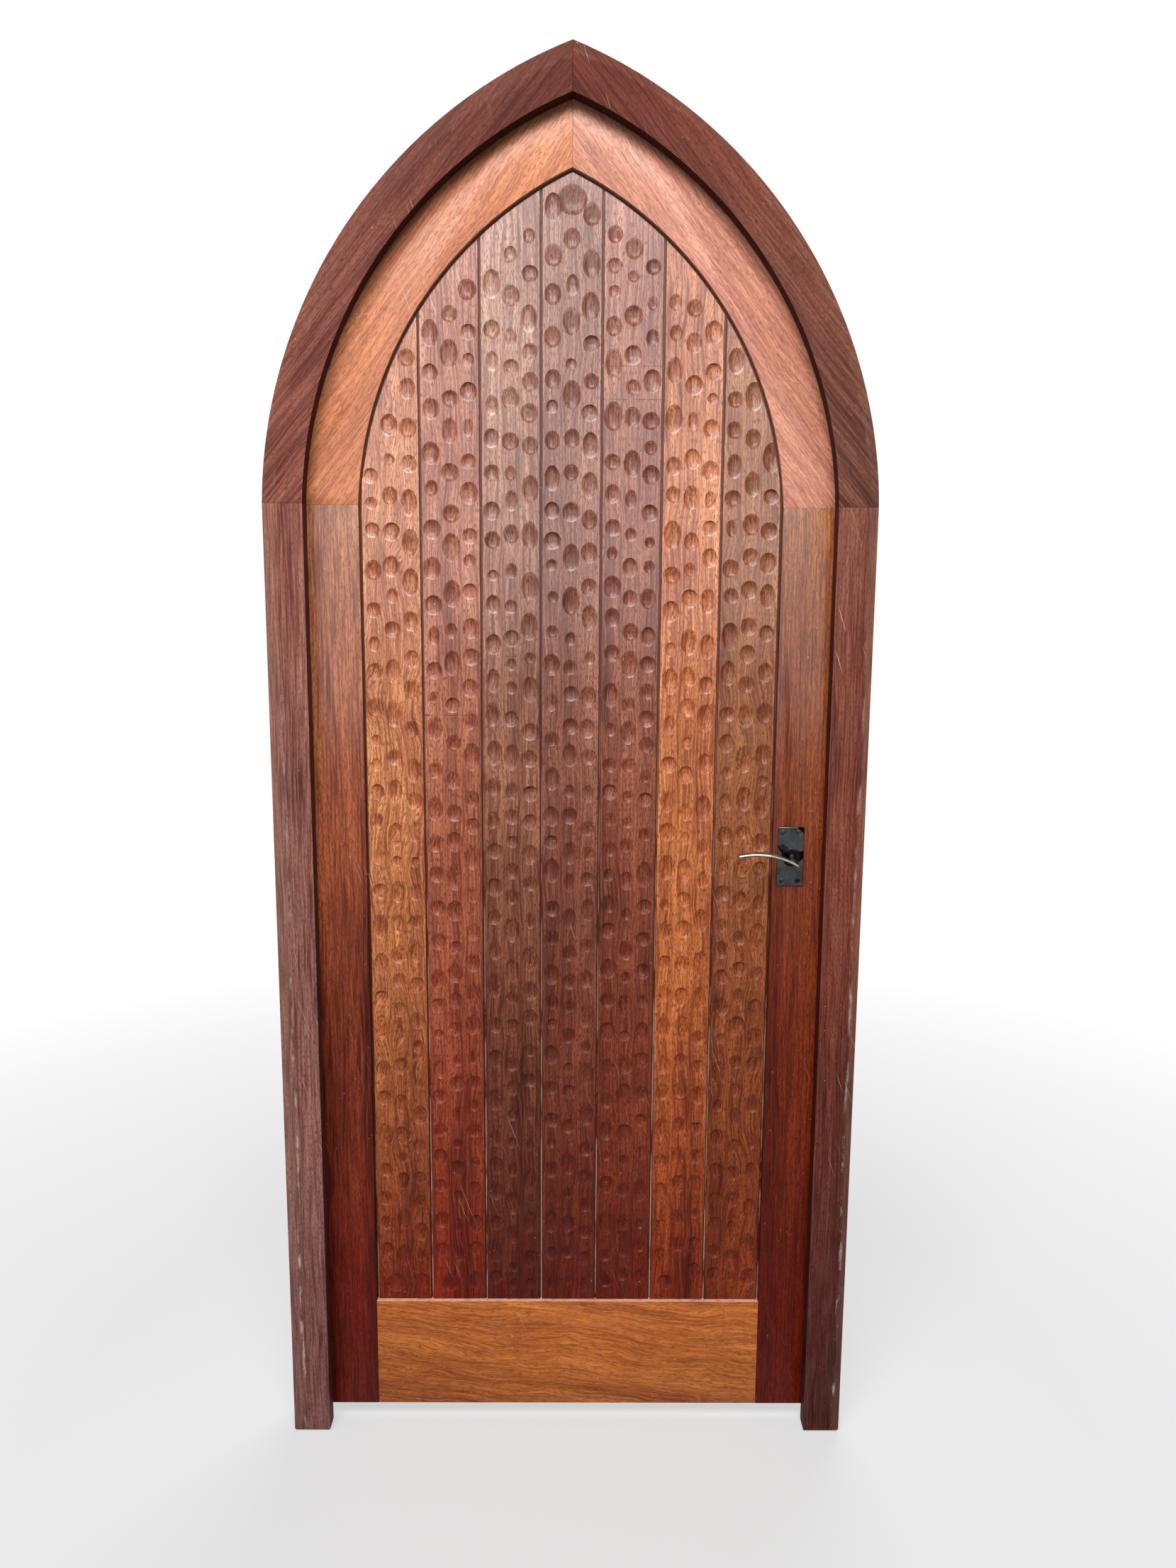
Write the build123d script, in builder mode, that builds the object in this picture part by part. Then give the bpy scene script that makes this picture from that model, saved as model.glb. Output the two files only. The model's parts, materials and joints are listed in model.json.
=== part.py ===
import os
from math import cos, hypot, sin, sqrt, tau
from random import Random

from build123d import *

# A framed hardwood door with a two-centred pointed arch. Millimetres, +X right, +Z up, the front faces -Y.
# The origin is on the floor, midway between the jambs, at the middle of the leaf's thickness.

# Frame
frame_width = 920.0
apex_height = 2171.0
springing = 1532.0
arc_drop = 25.0
jamb_face = 60.0
frame_apex_drop = 67.7
rebate = 12.0
stop_depth = 27.0
stop_gap = 1.0

# Leaf
leaf_thickness = 44.0
edge_gap = 3.0
floor_gap = 33.0
stile_width = 87.0
leaf_apex_drop = 91.2
rail_height = 189.3

# Boards
board_count = 7
board_recess = 7.0
board_thickness = 30.0
board_lip = 5.0
joint_gap = 3.6
tongue_thickness = 8.0
tongue_length = 6.0
tongue_play = 0.5

# Gouged scoops on the boards, in staggered columns, each cut with a few facets
scoop_seed = 40
scoop_columns = 3
scoop_spacing = 28.5
scoop_width_low = 23.0
scoop_width_high = 28.0
scoop_stretch = (1.0, 1.1, 1.25, 1.6)
scoop_rest_low = 13.0
scoop_rest_high = 34.0
scoop_depth = 3.6
scoop_sides = 8
small_scoop_share = 0.2
small_scoop_scale = 0.72
scoop_margin = 14.0
apex_scoop_width = 44.0
apex_scoop_drop = 42.0

# Loose tenons and the bottom rail's own tenons
tenon_thickness = 14.0
tenon_play = 1.0
rail_tenon_length = 50.0
rail_tenon_shoulder = 30.0
leaf_tenon_width = 50.0
leaf_tenon_length = 100.0
leaf_apex_tenon_width = 40.0
leaf_apex_tenon_length = 80.0
frame_tenon_width = 28.0
frame_tenon_length = 80.0
frame_apex_tenon_width = 24.0
frame_apex_tenon_length = 60.0
apex_tenon_drop = 6.0

# Butt hinges on the back left edge
hinge_length = 100.0
hinge_flap_width = 30.0
hinge_flap_thickness = 2.5
hinge_flap_gap = 0.3
knuckle_radius = 6.0
knuckle_stand_off = 0.5
knuckle_gap = 0.3
hinge_pin_radius = 3.0
pin_clearance = 0.05
pin_head_radius = 4.6
pin_head_height = 3.0
hinge_from_bottom = 230.0
hinge_from_springing = 160.0
hinge_screw_spacing = 35.0

# Countersunk screws
screw_head_radius = 4.0
screw_shank_radius = 2.0
screw_sink = 2.0
screw_length = 26.0
plate_screw_length = 17.0
screw_fit = 0.1

# Lever furniture
lever_height = 992.5
lever_backset = 59.0
plate_width = 42.0
plate_length = 95.0
plate_thickness = 3.0
plate_corner = 1.5
plate_screw_inset_x = 9.0
plate_screw_inset_z = 8.3
collar_radius = 14.0
collar_height = 8.0
collar_chamfer = 1.2
neck_radius = 7.5
neck_clearance = 0.08
neck_end_width = 12.0
neck_end_height = 5.6
neck_foot = 12.0
lever_stand_off = 45.0
grip_height = 6.2
grip_depth = 13.0
grip_radius = 124.0
grip_crest_x = -59.0
grip_crest_z = 12.4
grip_tip_x = -88.0
grip_root_x = 6.0
grip_facets = 7
spindle_side = 8.0
spindle_reach = 22.0
spindle_bore_radius = 8.0

# Mortise latch
latch_throw = 10.5
lever_swing = 30.0
case_depth = 74.0
case_width = 16.0
case_below = 18.0
case_above = 32.0
case_wall = 1.2
case_bore_radius = 6.4
faceplate_width = 20.0
faceplate_length = 90.0
faceplate_thickness = 3.0
faceplate_screw_inset = 7.0
bolt_thickness = 12.0
bolt_height = 20.0
bolt_rise = 15.0
bolt_projection = 10.0
bolt_length = 27.0
bolt_clearance = 0.2
bolt_nose = 2.0
tail_thickness = 4.0
tail_height = 10.0
tail_front = -5.0
follower_radius = 9.0
follower_thickness = 12.0
arm_reach = 21.0
arm_width = 4.0
arm_play = 0.5
catch_width = 2.5
spring_thickness = 0.5
spring_lean = 4.0
spring_play = 0.3
strike_width = 34.0
strike_length = 70.0
strike_thickness = 2.0
strike_screw_inset = 8.0
pocket_depth = 12.0
pocket_play = 1.5

# Depths
leaf_front = -leaf_thickness / 2
leaf_back = leaf_thickness / 2
rebate_front = leaf_front - stop_gap
frame_front = rebate_front - stop_depth
frame_back = leaf_back
board_front = leaf_front + board_recess
board_back = board_front + board_thickness
tongue_front = board_front + board_lip
tongue_back = tongue_front + tongue_thickness
groove_depth = tongue_length + tongue_play

# Widths and heights
frame_half = frame_width / 2
daylight_half = frame_half - jamb_face
rebate_half = daylight_half + rebate
leaf_half = rebate_half - edge_gap
panel_half = leaf_half - stile_width
arc_height = springing - arc_drop
rail_top = floor_gap + rail_height
board_pitch = (2 * panel_half - joint_gap) / board_count
lever_x = leaf_half - lever_backset
hinge_x = -leaf_half - edge_gap / 2
hinge_y = leaf_back + knuckle_stand_off + knuckle_radius


# The arches
def two_centred(half_width, apex):
    # centre offset and radius of the arcs that pass the springing points and the apex
    rise = apex - arc_height
    offset = (rise**2 - arc_drop**2 - half_width**2) / (2 * half_width)
    return offset, hypot(half_width + offset, arc_drop)


def grown(arch, amount):
    return arch[0], arch[1] + amount


def apex_of(arch):
    return arc_height + sqrt(arch[1] ** 2 - arch[0] ** 2)


outer_arch = two_centred(frame_half, apex_height)
daylight_arch = two_centred(daylight_half, apex_height - frame_apex_drop)
rebate_arch = grown(daylight_arch, rebate)
leaf_arch = grown(rebate_arch, -edge_gap)
panel_arch = two_centred(panel_half, apex_height - frame_apex_drop - leaf_apex_drop)


def arch_face(arch, bottom=springing):
    # front view of everything below a pointed arch, down to the given height
    offset, radius = arch
    half = sqrt(radius**2 - arc_drop**2) - offset
    with BuildSketch() as face:
        with Locations((-offset, arc_height)):
            Circle(radius)
        with Locations((offset, arc_height)):
            Circle(radius, mode=Mode.INTERSECT)
        with Locations((0, springing)):
            Rectangle(2 * radius, radius, align=(Align.CENTER, Align.MIN), mode=Mode.INTERSECT)
            if bottom < springing:
                Rectangle(2 * half, springing - bottom, align=(Align.CENTER, Align.MAX))
    return face.sketch


def front_view(y_back):
    # sketch plane seen from the front, at the back of what is extruded from it
    return Plane.XZ.offset(-y_back)


def block(low, high):
    # box between two corners, to be added or cut by the part that asks for it
    size = [b - a for a, b in zip(low, high)]
    return Pos(*low) * Box(*size, align=(Align.MIN, Align.MIN, Align.MIN), mode=Mode.PRIVATE)


def other_hand(part):
    with BuildPart() as mirrored:
        mirror(part, about=Plane.YZ)
    return mirrored.part


finished = {}


def keep(part, name):
    part.label = name
    finished[name] = part


# Loose tenons: one rectangle seen from the front, with room at both ends of its mortise
def tenon_block(centre_x, centre_z, size_x, size_z):
    return block(
        (centre_x - size_x / 2, -tenon_thickness / 2, centre_z - size_z / 2),
        (centre_x + size_x / 2, tenon_thickness / 2, centre_z + size_z / 2),
    )


def springing_tenon(x, width, length):
    return tenon_block(x, springing, width, length)


frame_tenon_x = (frame_half + rebate_half) / 2
leaf_tenon_x = (leaf_half + panel_half) / 2
frame_apex_tenon_z = (apex_height + apex_of(rebate_arch)) / 2 - apex_tenon_drop
leaf_apex_tenon_z = (apex_of(leaf_arch) + apex_of(panel_arch)) / 2

frame_mortise_length = frame_tenon_length + 2 * tenon_play
leaf_mortise_length = leaf_tenon_length + 2 * tenon_play
frame_apex_mortise_length = frame_apex_tenon_length + 2 * tenon_play
leaf_apex_mortise_length = leaf_apex_tenon_length + 2 * tenon_play

# Places of the three hinges
hinge_low = floor_gap + hinge_from_bottom
hinge_high = springing - hinge_from_springing
hinge_heights = {"top": hinge_high, "middle": (hinge_low + hinge_high) / 2, "bottom": hinge_low}

frame_flap_face = hinge_x - hinge_flap_gap / 2
leaf_flap_face = hinge_x + hinge_flap_gap / 2
flap_front = leaf_back - hinge_flap_width
screw_y = leaf_back - hinge_flap_width / 2


def flap_blank(inner_face, outer_face, height):
    low_x, high_x = sorted((inner_face, outer_face))
    return block(
        (low_x, flap_front, height - hinge_length / 2),
        (high_x, leaf_back, height + hinge_length / 2),
    )


# Latch and strike, in line with the spindle
latch_z = lever_height + bolt_rise
plate_face = leaf_half - faceplate_thickness
case_low_x = plate_face - case_depth
plate_centre_z = lever_height + (case_above - case_below) / 2
case_low = (case_low_x, -case_width / 2, lever_height - case_below)
case_high = (plate_face, case_width / 2, lever_height + case_above)
strike_face = rebate_half
strike_front = -(bolt_thickness / 2 + pocket_play + (strike_width - bolt_thickness - 2 * pocket_play) / 4)
pocket_half_y = bolt_thickness / 2 + pocket_play
pocket_half_z = bolt_height / 2 + pocket_play


def faceplate_blank():
    return block(
        (plate_face, -faceplate_width / 2, plate_centre_z - faceplate_length / 2),
        (leaf_half, faceplate_width / 2, plate_centre_z + faceplate_length / 2),
    )


def strike_blank():
    return block(
        (strike_face, strike_front, latch_z - strike_length / 2),
        (strike_face + strike_thickness, strike_front + strike_width, latch_z + strike_length / 2),
    )


# Frame: two rebated jambs and two rebated arched members
def jamb_blank():
    # the left jamb, before its hinge recesses
    with BuildPart() as jamb:
        with BuildSketch():
            with Locations((-frame_half, frame_front)):
                Rectangle(jamb_face, frame_back - frame_front, align=(Align.MIN, Align.MIN))
            with Locations((-daylight_half, rebate_front)):
                Rectangle(rebate, frame_back - rebate_front, align=(Align.MAX, Align.MIN), mode=Mode.SUBTRACT)
        extrude(amount=springing)
        add(springing_tenon(-frame_tenon_x, frame_tenon_width, frame_mortise_length), mode=Mode.SUBTRACT)
    return jamb.part


with BuildPart() as jamb_left:
    add(jamb_blank())
    for height in hinge_heights.values():
        add(flap_blank(-rebate_half, frame_flap_face - hinge_flap_thickness, height), mode=Mode.SUBTRACT)
keep(jamb_left.part, "jamb_left")

with BuildPart() as jamb_right:
    mirror(jamb_blank(), about=Plane.YZ)
    add(strike_blank(), mode=Mode.SUBTRACT)
    add(
        block(
            (strike_face, -pocket_half_y, latch_z - pocket_half_z),
            (strike_face + pocket_depth, pocket_half_y, latch_z + pocket_half_z),
        ),
        mode=Mode.SUBTRACT,
    )
keep(jamb_right.part, "jamb_right")

with BuildPart() as frame_head_left:
    with BuildSketch(front_view(frame_back)):
        add(arch_face(outer_arch))
        add(arch_face(daylight_arch), mode=Mode.SUBTRACT)
        with Locations((0, springing)):
            Rectangle(frame_width, frame_width, align=(Align.MAX, Align.MIN), mode=Mode.INTERSECT)
    extrude(amount=frame_back - frame_front)
    with BuildSketch(front_view(frame_back)):
        add(arch_face(rebate_arch))
    extrude(amount=frame_back - rebate_front, mode=Mode.SUBTRACT)
    add(springing_tenon(-frame_tenon_x, frame_tenon_width, frame_mortise_length), mode=Mode.SUBTRACT)
    add(
        tenon_block(0, frame_apex_tenon_z, frame_apex_mortise_length, frame_apex_tenon_width),
        mode=Mode.SUBTRACT,
    )
keep(frame_head_left.part, "frame_head_left")
keep(other_hand(frame_head_left.part), "frame_head_right")

for side, sign in (("left", -1), ("right", 1)):
    keep(springing_tenon(sign * frame_tenon_x, frame_tenon_width, frame_tenon_length), f"frame_tenon_{side}")
keep(
    tenon_block(0, frame_apex_tenon_z, frame_apex_tenon_length, frame_apex_tenon_width),
    "frame_tenon_apex",
)

# Leaf: stiles, arched head members and bottom rail, grooved for the boards
rail_tenon_low = floor_gap + rail_tenon_shoulder
rail_tenon_high = rail_top - rail_tenon_shoulder


def rail_tenon(sign, play):
    ends = sorted((sign * panel_half, sign * (panel_half + rail_tenon_length + play)))
    return block(
        (ends[0], -tenon_thickness / 2, rail_tenon_low),
        (ends[1], tenon_thickness / 2, rail_tenon_high),
    )


def stile_blank():
    # the left stile, before its hinge recesses
    with BuildPart() as stile:
        add(block((-leaf_half, leaf_front, floor_gap), (-panel_half, leaf_back, springing)))
        add(
            block(
                (-panel_half - groove_depth, tongue_front, rail_top - groove_depth),
                (-panel_half, tongue_back, springing),
            ),
            mode=Mode.SUBTRACT,
        )
        add(rail_tenon(-1, tenon_play), mode=Mode.SUBTRACT)
        add(springing_tenon(-leaf_tenon_x, leaf_tenon_width, leaf_mortise_length), mode=Mode.SUBTRACT)
    return stile.part


with BuildPart() as stile_left:
    add(stile_blank())
    for height in hinge_heights.values():
        add(flap_blank(-leaf_half, leaf_flap_face + hinge_flap_thickness, height), mode=Mode.SUBTRACT)
keep(stile_left.part, "stile_left")

with BuildPart() as stile_right:
    mirror(stile_blank(), about=Plane.YZ)
    add(faceplate_blank(), mode=Mode.SUBTRACT)
    add(block(case_low, case_high), mode=Mode.SUBTRACT)
    with BuildSketch(front_view(leaf_back)):
        with Locations((lever_x, lever_height)):
            Circle(spindle_bore_radius)
    extrude(amount=leaf_thickness, mode=Mode.SUBTRACT)
keep(stile_right.part, "stile_right")

with BuildPart() as leaf_head_left:
    with BuildSketch(front_view(leaf_back)):
        add(arch_face(leaf_arch))
        add(arch_face(panel_arch), mode=Mode.SUBTRACT)
        with Locations((0, springing)):
            Rectangle(frame_width, frame_width, align=(Align.MAX, Align.MIN), mode=Mode.INTERSECT)
    extrude(amount=leaf_thickness)
    with BuildSketch(front_view(tongue_back)):
        add(arch_face(grown(panel_arch, groove_depth)))
    extrude(amount=tongue_thickness, mode=Mode.SUBTRACT)
    add(springing_tenon(-leaf_tenon_x, leaf_tenon_width, leaf_mortise_length), mode=Mode.SUBTRACT)
    add(
        tenon_block(0, leaf_apex_tenon_z, leaf_apex_mortise_length, leaf_apex_tenon_width),
        mode=Mode.SUBTRACT,
    )
keep(leaf_head_left.part, "leaf_head_left")
keep(other_hand(leaf_head_left.part), "leaf_head_right")

for side, sign in (("left", -1), ("right", 1)):
    keep(springing_tenon(sign * leaf_tenon_x, leaf_tenon_width, leaf_tenon_length), f"leaf_tenon_{side}")
keep(tenon_block(0, leaf_apex_tenon_z, leaf_apex_tenon_length, leaf_apex_tenon_width), "leaf_tenon_apex")

with BuildPart() as bottom_rail:
    add(block((-panel_half, leaf_front, floor_gap), (panel_half, leaf_back, rail_top)))
    add(
        block((-panel_half, tongue_front, rail_top - groove_depth), (panel_half, tongue_back, rail_top)),
        mode=Mode.SUBTRACT,
    )
    add([rail_tenon(-1, 0), rail_tenon(1, 0)])
keep(bottom_rail.part, "bottom_rail")


# Scoops: a seeded walk up each column gives their places and sizes
def panel_top(x):
    # height of the panel's arch above a point
    offset, radius = panel_arch
    return arc_height + sqrt(radius**2 - (abs(x) + offset) ** 2)


def scoop_places(index, centre_x):
    rng = Random(scoop_seed + index)
    for column in range(scoop_columns):
        x = centre_x + (column - (scoop_columns - 1) / 2) * scoop_spacing
        top = panel_top(x) - scoop_margin
        z = rail_top + rng.uniform(scoop_rest_low, scoop_rest_high)
        while True:
            width = rng.uniform(scoop_width_low, scoop_width_high)
            if rng.random() < small_scoop_share:
                width *= small_scoop_scale
            height = width * rng.choice(scoop_stretch)
            if z + height > top:
                break
            yield x + rng.uniform(-1, 1), z + height / 2, width, height
            z += height + rng.uniform(scoop_rest_low, scoop_rest_high)


def scoop_cutter(x, z, width, height):
    # a shallow faceted pit with its rim on the board's face
    turns = [tau * (side + 0.5) / scoop_sides for side in range(scoop_sides)]
    with BuildPart() as cutter:
        with BuildSketch(front_view(board_front)) as rim:
            with Locations((x, z)):
                Polygon([(width / 2 * cos(turn), height / 2 * sin(turn)) for turn in turns], align=None)
        loft([rim.sketch.face(), Vertex(x, board_front + scoop_depth, z)], ruled=True)
    return cutter.part


def scoop_cutters(index, centre_x):
    cutters = [scoop_cutter(*place) for place in scoop_places(index, centre_x)]
    if index == board_count // 2:
        apex_z = apex_of(panel_arch) - apex_scoop_drop
        cutters.append(scoop_cutter(centre_x, apex_z, apex_scoop_width, apex_scoop_width))
    return cutters


# Boards: a lip in front, a tongue behind it on the right, a groove on the left, and a plain back
def board_slice(index, arch, bottom, left_shift, right_shift):
    # front view of one board's share of the panel; the outer boards run on to the stiles
    left = -panel_half + joint_gap / 2 + index * board_pitch
    low = -frame_half if index == 0 else left + left_shift
    high = frame_half if index == board_count - 1 else left + board_pitch + right_shift
    with BuildSketch() as outline:
        add(arch_face(arch, bottom))
        with Locations(((low + high) / 2, 0)):
            Rectangle(high - low, 2 * apex_height, mode=Mode.INTERSECT)
    return outline.sketch


def board(index):
    centre_x = -panel_half + joint_gap / 2 + (index + 0.5) * board_pitch
    with BuildPart() as plank:
        with BuildSketch(front_view(tongue_front)):
            add(board_slice(index, grown(panel_arch, -joint_gap), rail_top, joint_gap / 2, -joint_gap / 2))
        extrude(amount=board_lip)
        with BuildSketch(front_view(tongue_back)):
            add(
                board_slice(
                    index, grown(panel_arch, tongue_length), rail_top - tongue_length, groove_depth, tongue_length
                )
            )
        extrude(amount=tongue_thickness)
        with BuildSketch(front_view(board_back)):
            add(board_slice(index, grown(panel_arch, -tongue_play), rail_top, 0, 0))
        extrude(amount=board_back - tongue_back)
        add(scoop_cutters(index, centre_x), mode=Mode.SUBTRACT)
    return plank.part


for index in range(board_count):
    keep(board(index), f"board_{index + 1}")


# Butt hinges: the frame's flap has the end knuckles and the leaf's flap has the middle one
knuckle_length = (hinge_length - 2 * knuckle_gap) / 3


def upright_rod(radius, low, high):
    with BuildPart() as rod:
        with BuildSketch(Plane.XY.offset(low)):
            with Locations((hinge_x, hinge_y)):
                Circle(radius)
        extrude(amount=high - low)
    return rod.part


def hinge_flap(inner_face, outward, knuckle_spans, other_spans, height):
    # outward is -1 for the flap let into the jamb and 1 for the one let into the leaf
    outer_face = inner_face + outward * hinge_flap_thickness
    low_x, high_x = sorted((inner_face, outer_face))
    low_z = height - hinge_length / 2
    with BuildPart() as flap:
        add(block((low_x, flap_front, low_z), (high_x, hinge_y, low_z + hinge_length)))
        for low, high in other_spans:
            low_cut = low_z + low - knuckle_gap
            add(upright_rod(knuckle_radius + knuckle_gap, low_cut, low_z + high + knuckle_gap), mode=Mode.SUBTRACT)
        for low, high in knuckle_spans:
            add(upright_rod(knuckle_radius, low_z + low, low_z + high))
        add(upright_rod(hinge_pin_radius + pin_clearance, low_z, low_z + hinge_length), mode=Mode.SUBTRACT)
        with Locations(Plane(origin=(inner_face, screw_y, height), x_dir=(0, 0, 1), z_dir=(-outward, 0, 0))):
            with GridLocations(hinge_screw_spacing, 0, 3, 1):
                CounterSinkHole(
                    screw_shank_radius + screw_fit, screw_head_radius + screw_fit, hinge_flap_thickness
                )
    return flap.part


def screws(length, head_face_places):
    # countersunk screws, one for each plane on a head's face with its normal out of the work
    with BuildPart() as blank:
        with BuildSketch(Plane.XZ):
            with BuildLine():
                Polyline(
                    (0, 0),
                    (screw_head_radius, 0),
                    (screw_shank_radius, -screw_sink),
                    (screw_shank_radius, -length),
                    (0, -length),
                    close=True,
                )
            make_face()
        revolve(axis=Axis.Z)
    with BuildPart() as group:
        with Locations(*head_face_places):
            add(blank.part)
    return group.part


frame_spans = [(0, knuckle_length), (hinge_length - knuckle_length, hinge_length)]
leaf_spans = [(knuckle_length + knuckle_gap, hinge_length - knuckle_length - knuckle_gap)]
frame_screw_places = []
leaf_screw_places = []
for name, height in hinge_heights.items():
    keep(hinge_flap(frame_flap_face, -1, frame_spans, leaf_spans, height), f"hinge_frame_flap_{name}")
    keep(hinge_flap(leaf_flap_face, 1, leaf_spans, frame_spans, height), f"hinge_leaf_flap_{name}")
    pin_low = height - hinge_length / 2
    with BuildPart() as hinge_pin:
        add(upright_rod(hinge_pin_radius, pin_low, pin_low + hinge_length))
        add(upright_rod(pin_head_radius, pin_low + hinge_length, pin_low + hinge_length + pin_head_height))
        add(upright_rod(pin_head_radius, pin_low - pin_head_height, pin_low))
    keep(hinge_pin.part, f"hinge_pin_{name}")
    for step in (-1, 0, 1):
        screw_z = height + step * hinge_screw_spacing
        frame_screw_places.append(Plane(origin=(frame_flap_face, screw_y, screw_z), z_dir=(1, 0, 0)))
        leaf_screw_places.append(Plane(origin=(leaf_flap_face, screw_y, screw_z), z_dir=(-1, 0, 0)))
keep(screws(screw_length, frame_screw_places), "hinge_screws_frame")
keep(screws(screw_length, leaf_screw_places), "hinge_screws_leaf")


# Backplates with a round collar, screwed to both faces of the stile
plate_screw_spread_x = plate_width - 2 * plate_screw_inset_x
plate_screw_spread_z = plate_length - 2 * plate_screw_inset_z
outside_face = Plane(origin=(lever_x, leaf_front, lever_height), x_dir=(1, 0, 0), z_dir=(0, -1, 0))


def mirror_to_back(part):
    with BuildPart() as other_side:
        mirror(part, about=Plane.XZ)
    return other_side.part


with BuildPart() as plate_outside:
    with BuildSketch(outside_face):
        RectangleRounded(plate_width, plate_length, plate_corner)
    extrude(amount=plate_thickness)
    plate_top = outside_face.offset(plate_thickness)
    with BuildSketch(plate_top):
        Circle(collar_radius)
    extrude(amount=collar_height)
    collar_rim = plate_outside.faces().sort_by(Axis.Y)[0].edges()
    chamfer(collar_rim, collar_chamfer)
    with BuildSketch(outside_face):
        Circle(neck_radius + neck_clearance)
    extrude(amount=plate_thickness + collar_height, mode=Mode.SUBTRACT)
    with Locations(plate_top):
        with GridLocations(plate_screw_spread_x, plate_screw_spread_z, 2, 2):
            CounterSinkHole(screw_shank_radius + screw_fit, screw_head_radius + screw_fit, plate_thickness)
keep(plate_outside.part, "plate_outside")
keep(mirror_to_back(plate_outside.part), "plate_inside")

with Locations(plate_top):
    with GridLocations(plate_screw_spread_x, plate_screw_spread_z, 2, 2) as screw_grid:
        plate_screw_places = [Plane(place) for place in screw_grid.locations]
keep(screws(plate_screw_length, plate_screw_places), "plate_screws_outside")
keep(mirror_to_back(finished["plate_screws_outside"]), "plate_screws_inside")


# Levers: a neck that turns in the collar and a bowed grip
def grip_z(x):
    return grip_crest_z - grip_radius + sqrt(grip_radius**2 - (x - grip_crest_x) ** 2)


def grip_stations(length):
    # distances along the grip and the share of its full section there, with both ends rounded
    round_off = grip_height / 2
    for along in (0.02, 0.15, 0.45):
        yield along * round_off, sqrt(1 - (1 - along) ** 2)
    for step in range(grip_facets + 1):
        yield round_off + step * (length - 2 * round_off) / grip_facets, 1
    for along in (0.45, 0.15, 0.02):
        yield length - along * round_off, sqrt(1 - (1 - along) ** 2)


with BuildPart() as lever_outside:
    neck_start = outside_face.offset(arm_play)
    neck_stop = outside_face.offset(lever_stand_off)
    with BuildSketch(neck_start):
        Circle(neck_radius)
    extrude(amount=plate_thickness + neck_foot)
    with BuildSketch(neck_start.offset(plate_thickness + neck_foot)):
        Circle(neck_radius)
    with BuildSketch(neck_stop):
        with Locations((0, grip_z(0))):
            Ellipse(neck_end_width / 2, neck_end_height / 2)
    loft()
    with BuildLine(neck_stop) as grip_line:
        grip_middle = (grip_root_x + grip_tip_x) / 2
        ThreePointArc(*[(x, grip_z(x)) for x in (grip_root_x, grip_middle, grip_tip_x)])
    grip_length = grip_line.edges()[0].length
    for along, share in grip_stations(grip_length):
        place = along / grip_length
        with BuildSketch(Plane(origin=grip_line.line @ place, x_dir=(0, 1, 0), z_dir=grip_line.line % place)):
            Ellipse(share * grip_depth / 2, share * grip_height / 2)
    loft(ruled=True)
    with BuildSketch(neck_start):
        Rectangle(spindle_side, spindle_side)
    extrude(amount=spindle_reach, mode=Mode.SUBTRACT)
keep(lever_outside.part, "lever_outside")
keep(mirror_to_back(lever_outside.part), "lever_inside")

spindle_half_length = leaf_back + arm_play + spindle_reach
keep(
    block(
        (lever_x - spindle_side / 2, -spindle_half_length, lever_height - spindle_side / 2),
        (lever_x + spindle_side / 2, spindle_half_length, lever_height + spindle_side / 2),
    ),
    "spindle",
)

# Mortise latch: case, follower with its arm, bolt with its tail and catch, leaf spring and faceplate
with BuildPart() as latch_case:
    add(block(case_low, case_high))
    inner_low = [value + case_wall for value in case_low]
    inner_high = [plate_face] + [value - case_wall for value in case_high[1:]]
    add(block(inner_low, inner_high), mode=Mode.SUBTRACT)
    with BuildSketch(Plane.XZ):
        with Locations((lever_x, lever_height)):
            Circle(case_bore_radius)
    extrude(amount=case_width, both=True, mode=Mode.SUBTRACT)
keep(latch_case.part, "latch_case")

with BuildPart() as follower:
    with BuildSketch(front_view(follower_thickness / 2)):
        with Locations((lever_x, lever_height)):
            Circle(follower_radius)
            Rectangle(spindle_side, spindle_side, mode=Mode.SUBTRACT)
    extrude(amount=follower_thickness)
    add(
        block(
            (lever_x - arm_width / 2, 0, lever_height + spindle_side / 2),
            (lever_x + arm_width / 2, follower_thickness / 2, lever_height + arm_reach),
        )
    )
keep(follower.part, "follower")

bolt_tip_x = leaf_half + bolt_projection
bolt_rear_x = bolt_tip_x - bolt_length
catch_face = lever_x - arm_width / 2 - arm_play
with BuildPart() as latch_bolt:
    half = bolt_thickness / 2
    with BuildSketch(Plane.XY.offset(latch_z - bolt_height / 2)):
        Polygon(
            (bolt_rear_x, -half),
            (leaf_half, -half),
            (bolt_tip_x, half - bolt_nose),
            (bolt_tip_x, half),
            (bolt_rear_x, half),
            align=None,
        )
    extrude(amount=bolt_height)
    tail_low = latch_z - tail_height / 2
    add(
        block(
            (catch_face - catch_width, tail_front, tail_low),
            (bolt_rear_x, tail_front + tail_thickness, tail_low + tail_height),
        )
    )
    add(
        block(
            (catch_face - catch_width, tail_front, tail_low),
            (catch_face, follower_thickness / 2 - arm_play, tail_low + tail_height),
        )
    )
keep(latch_bolt.part, "latch_bolt")

spring_foot_x = catch_face - catch_width - spring_play
with BuildPart() as latch_spring:
    spring_top = lever_height + case_above - case_wall
    with BuildSketch(Plane.XZ):
        Polygon(
            (spring_foot_x, latch_z),
            (spring_foot_x - spring_lean, spring_top),
            (spring_foot_x - spring_lean - spring_thickness, spring_top),
            (spring_foot_x - spring_thickness, latch_z),
            align=None,
        )
    extrude(amount=tail_thickness / 2, both=True)
keep(latch_spring.part, "latch_spring")

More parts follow.
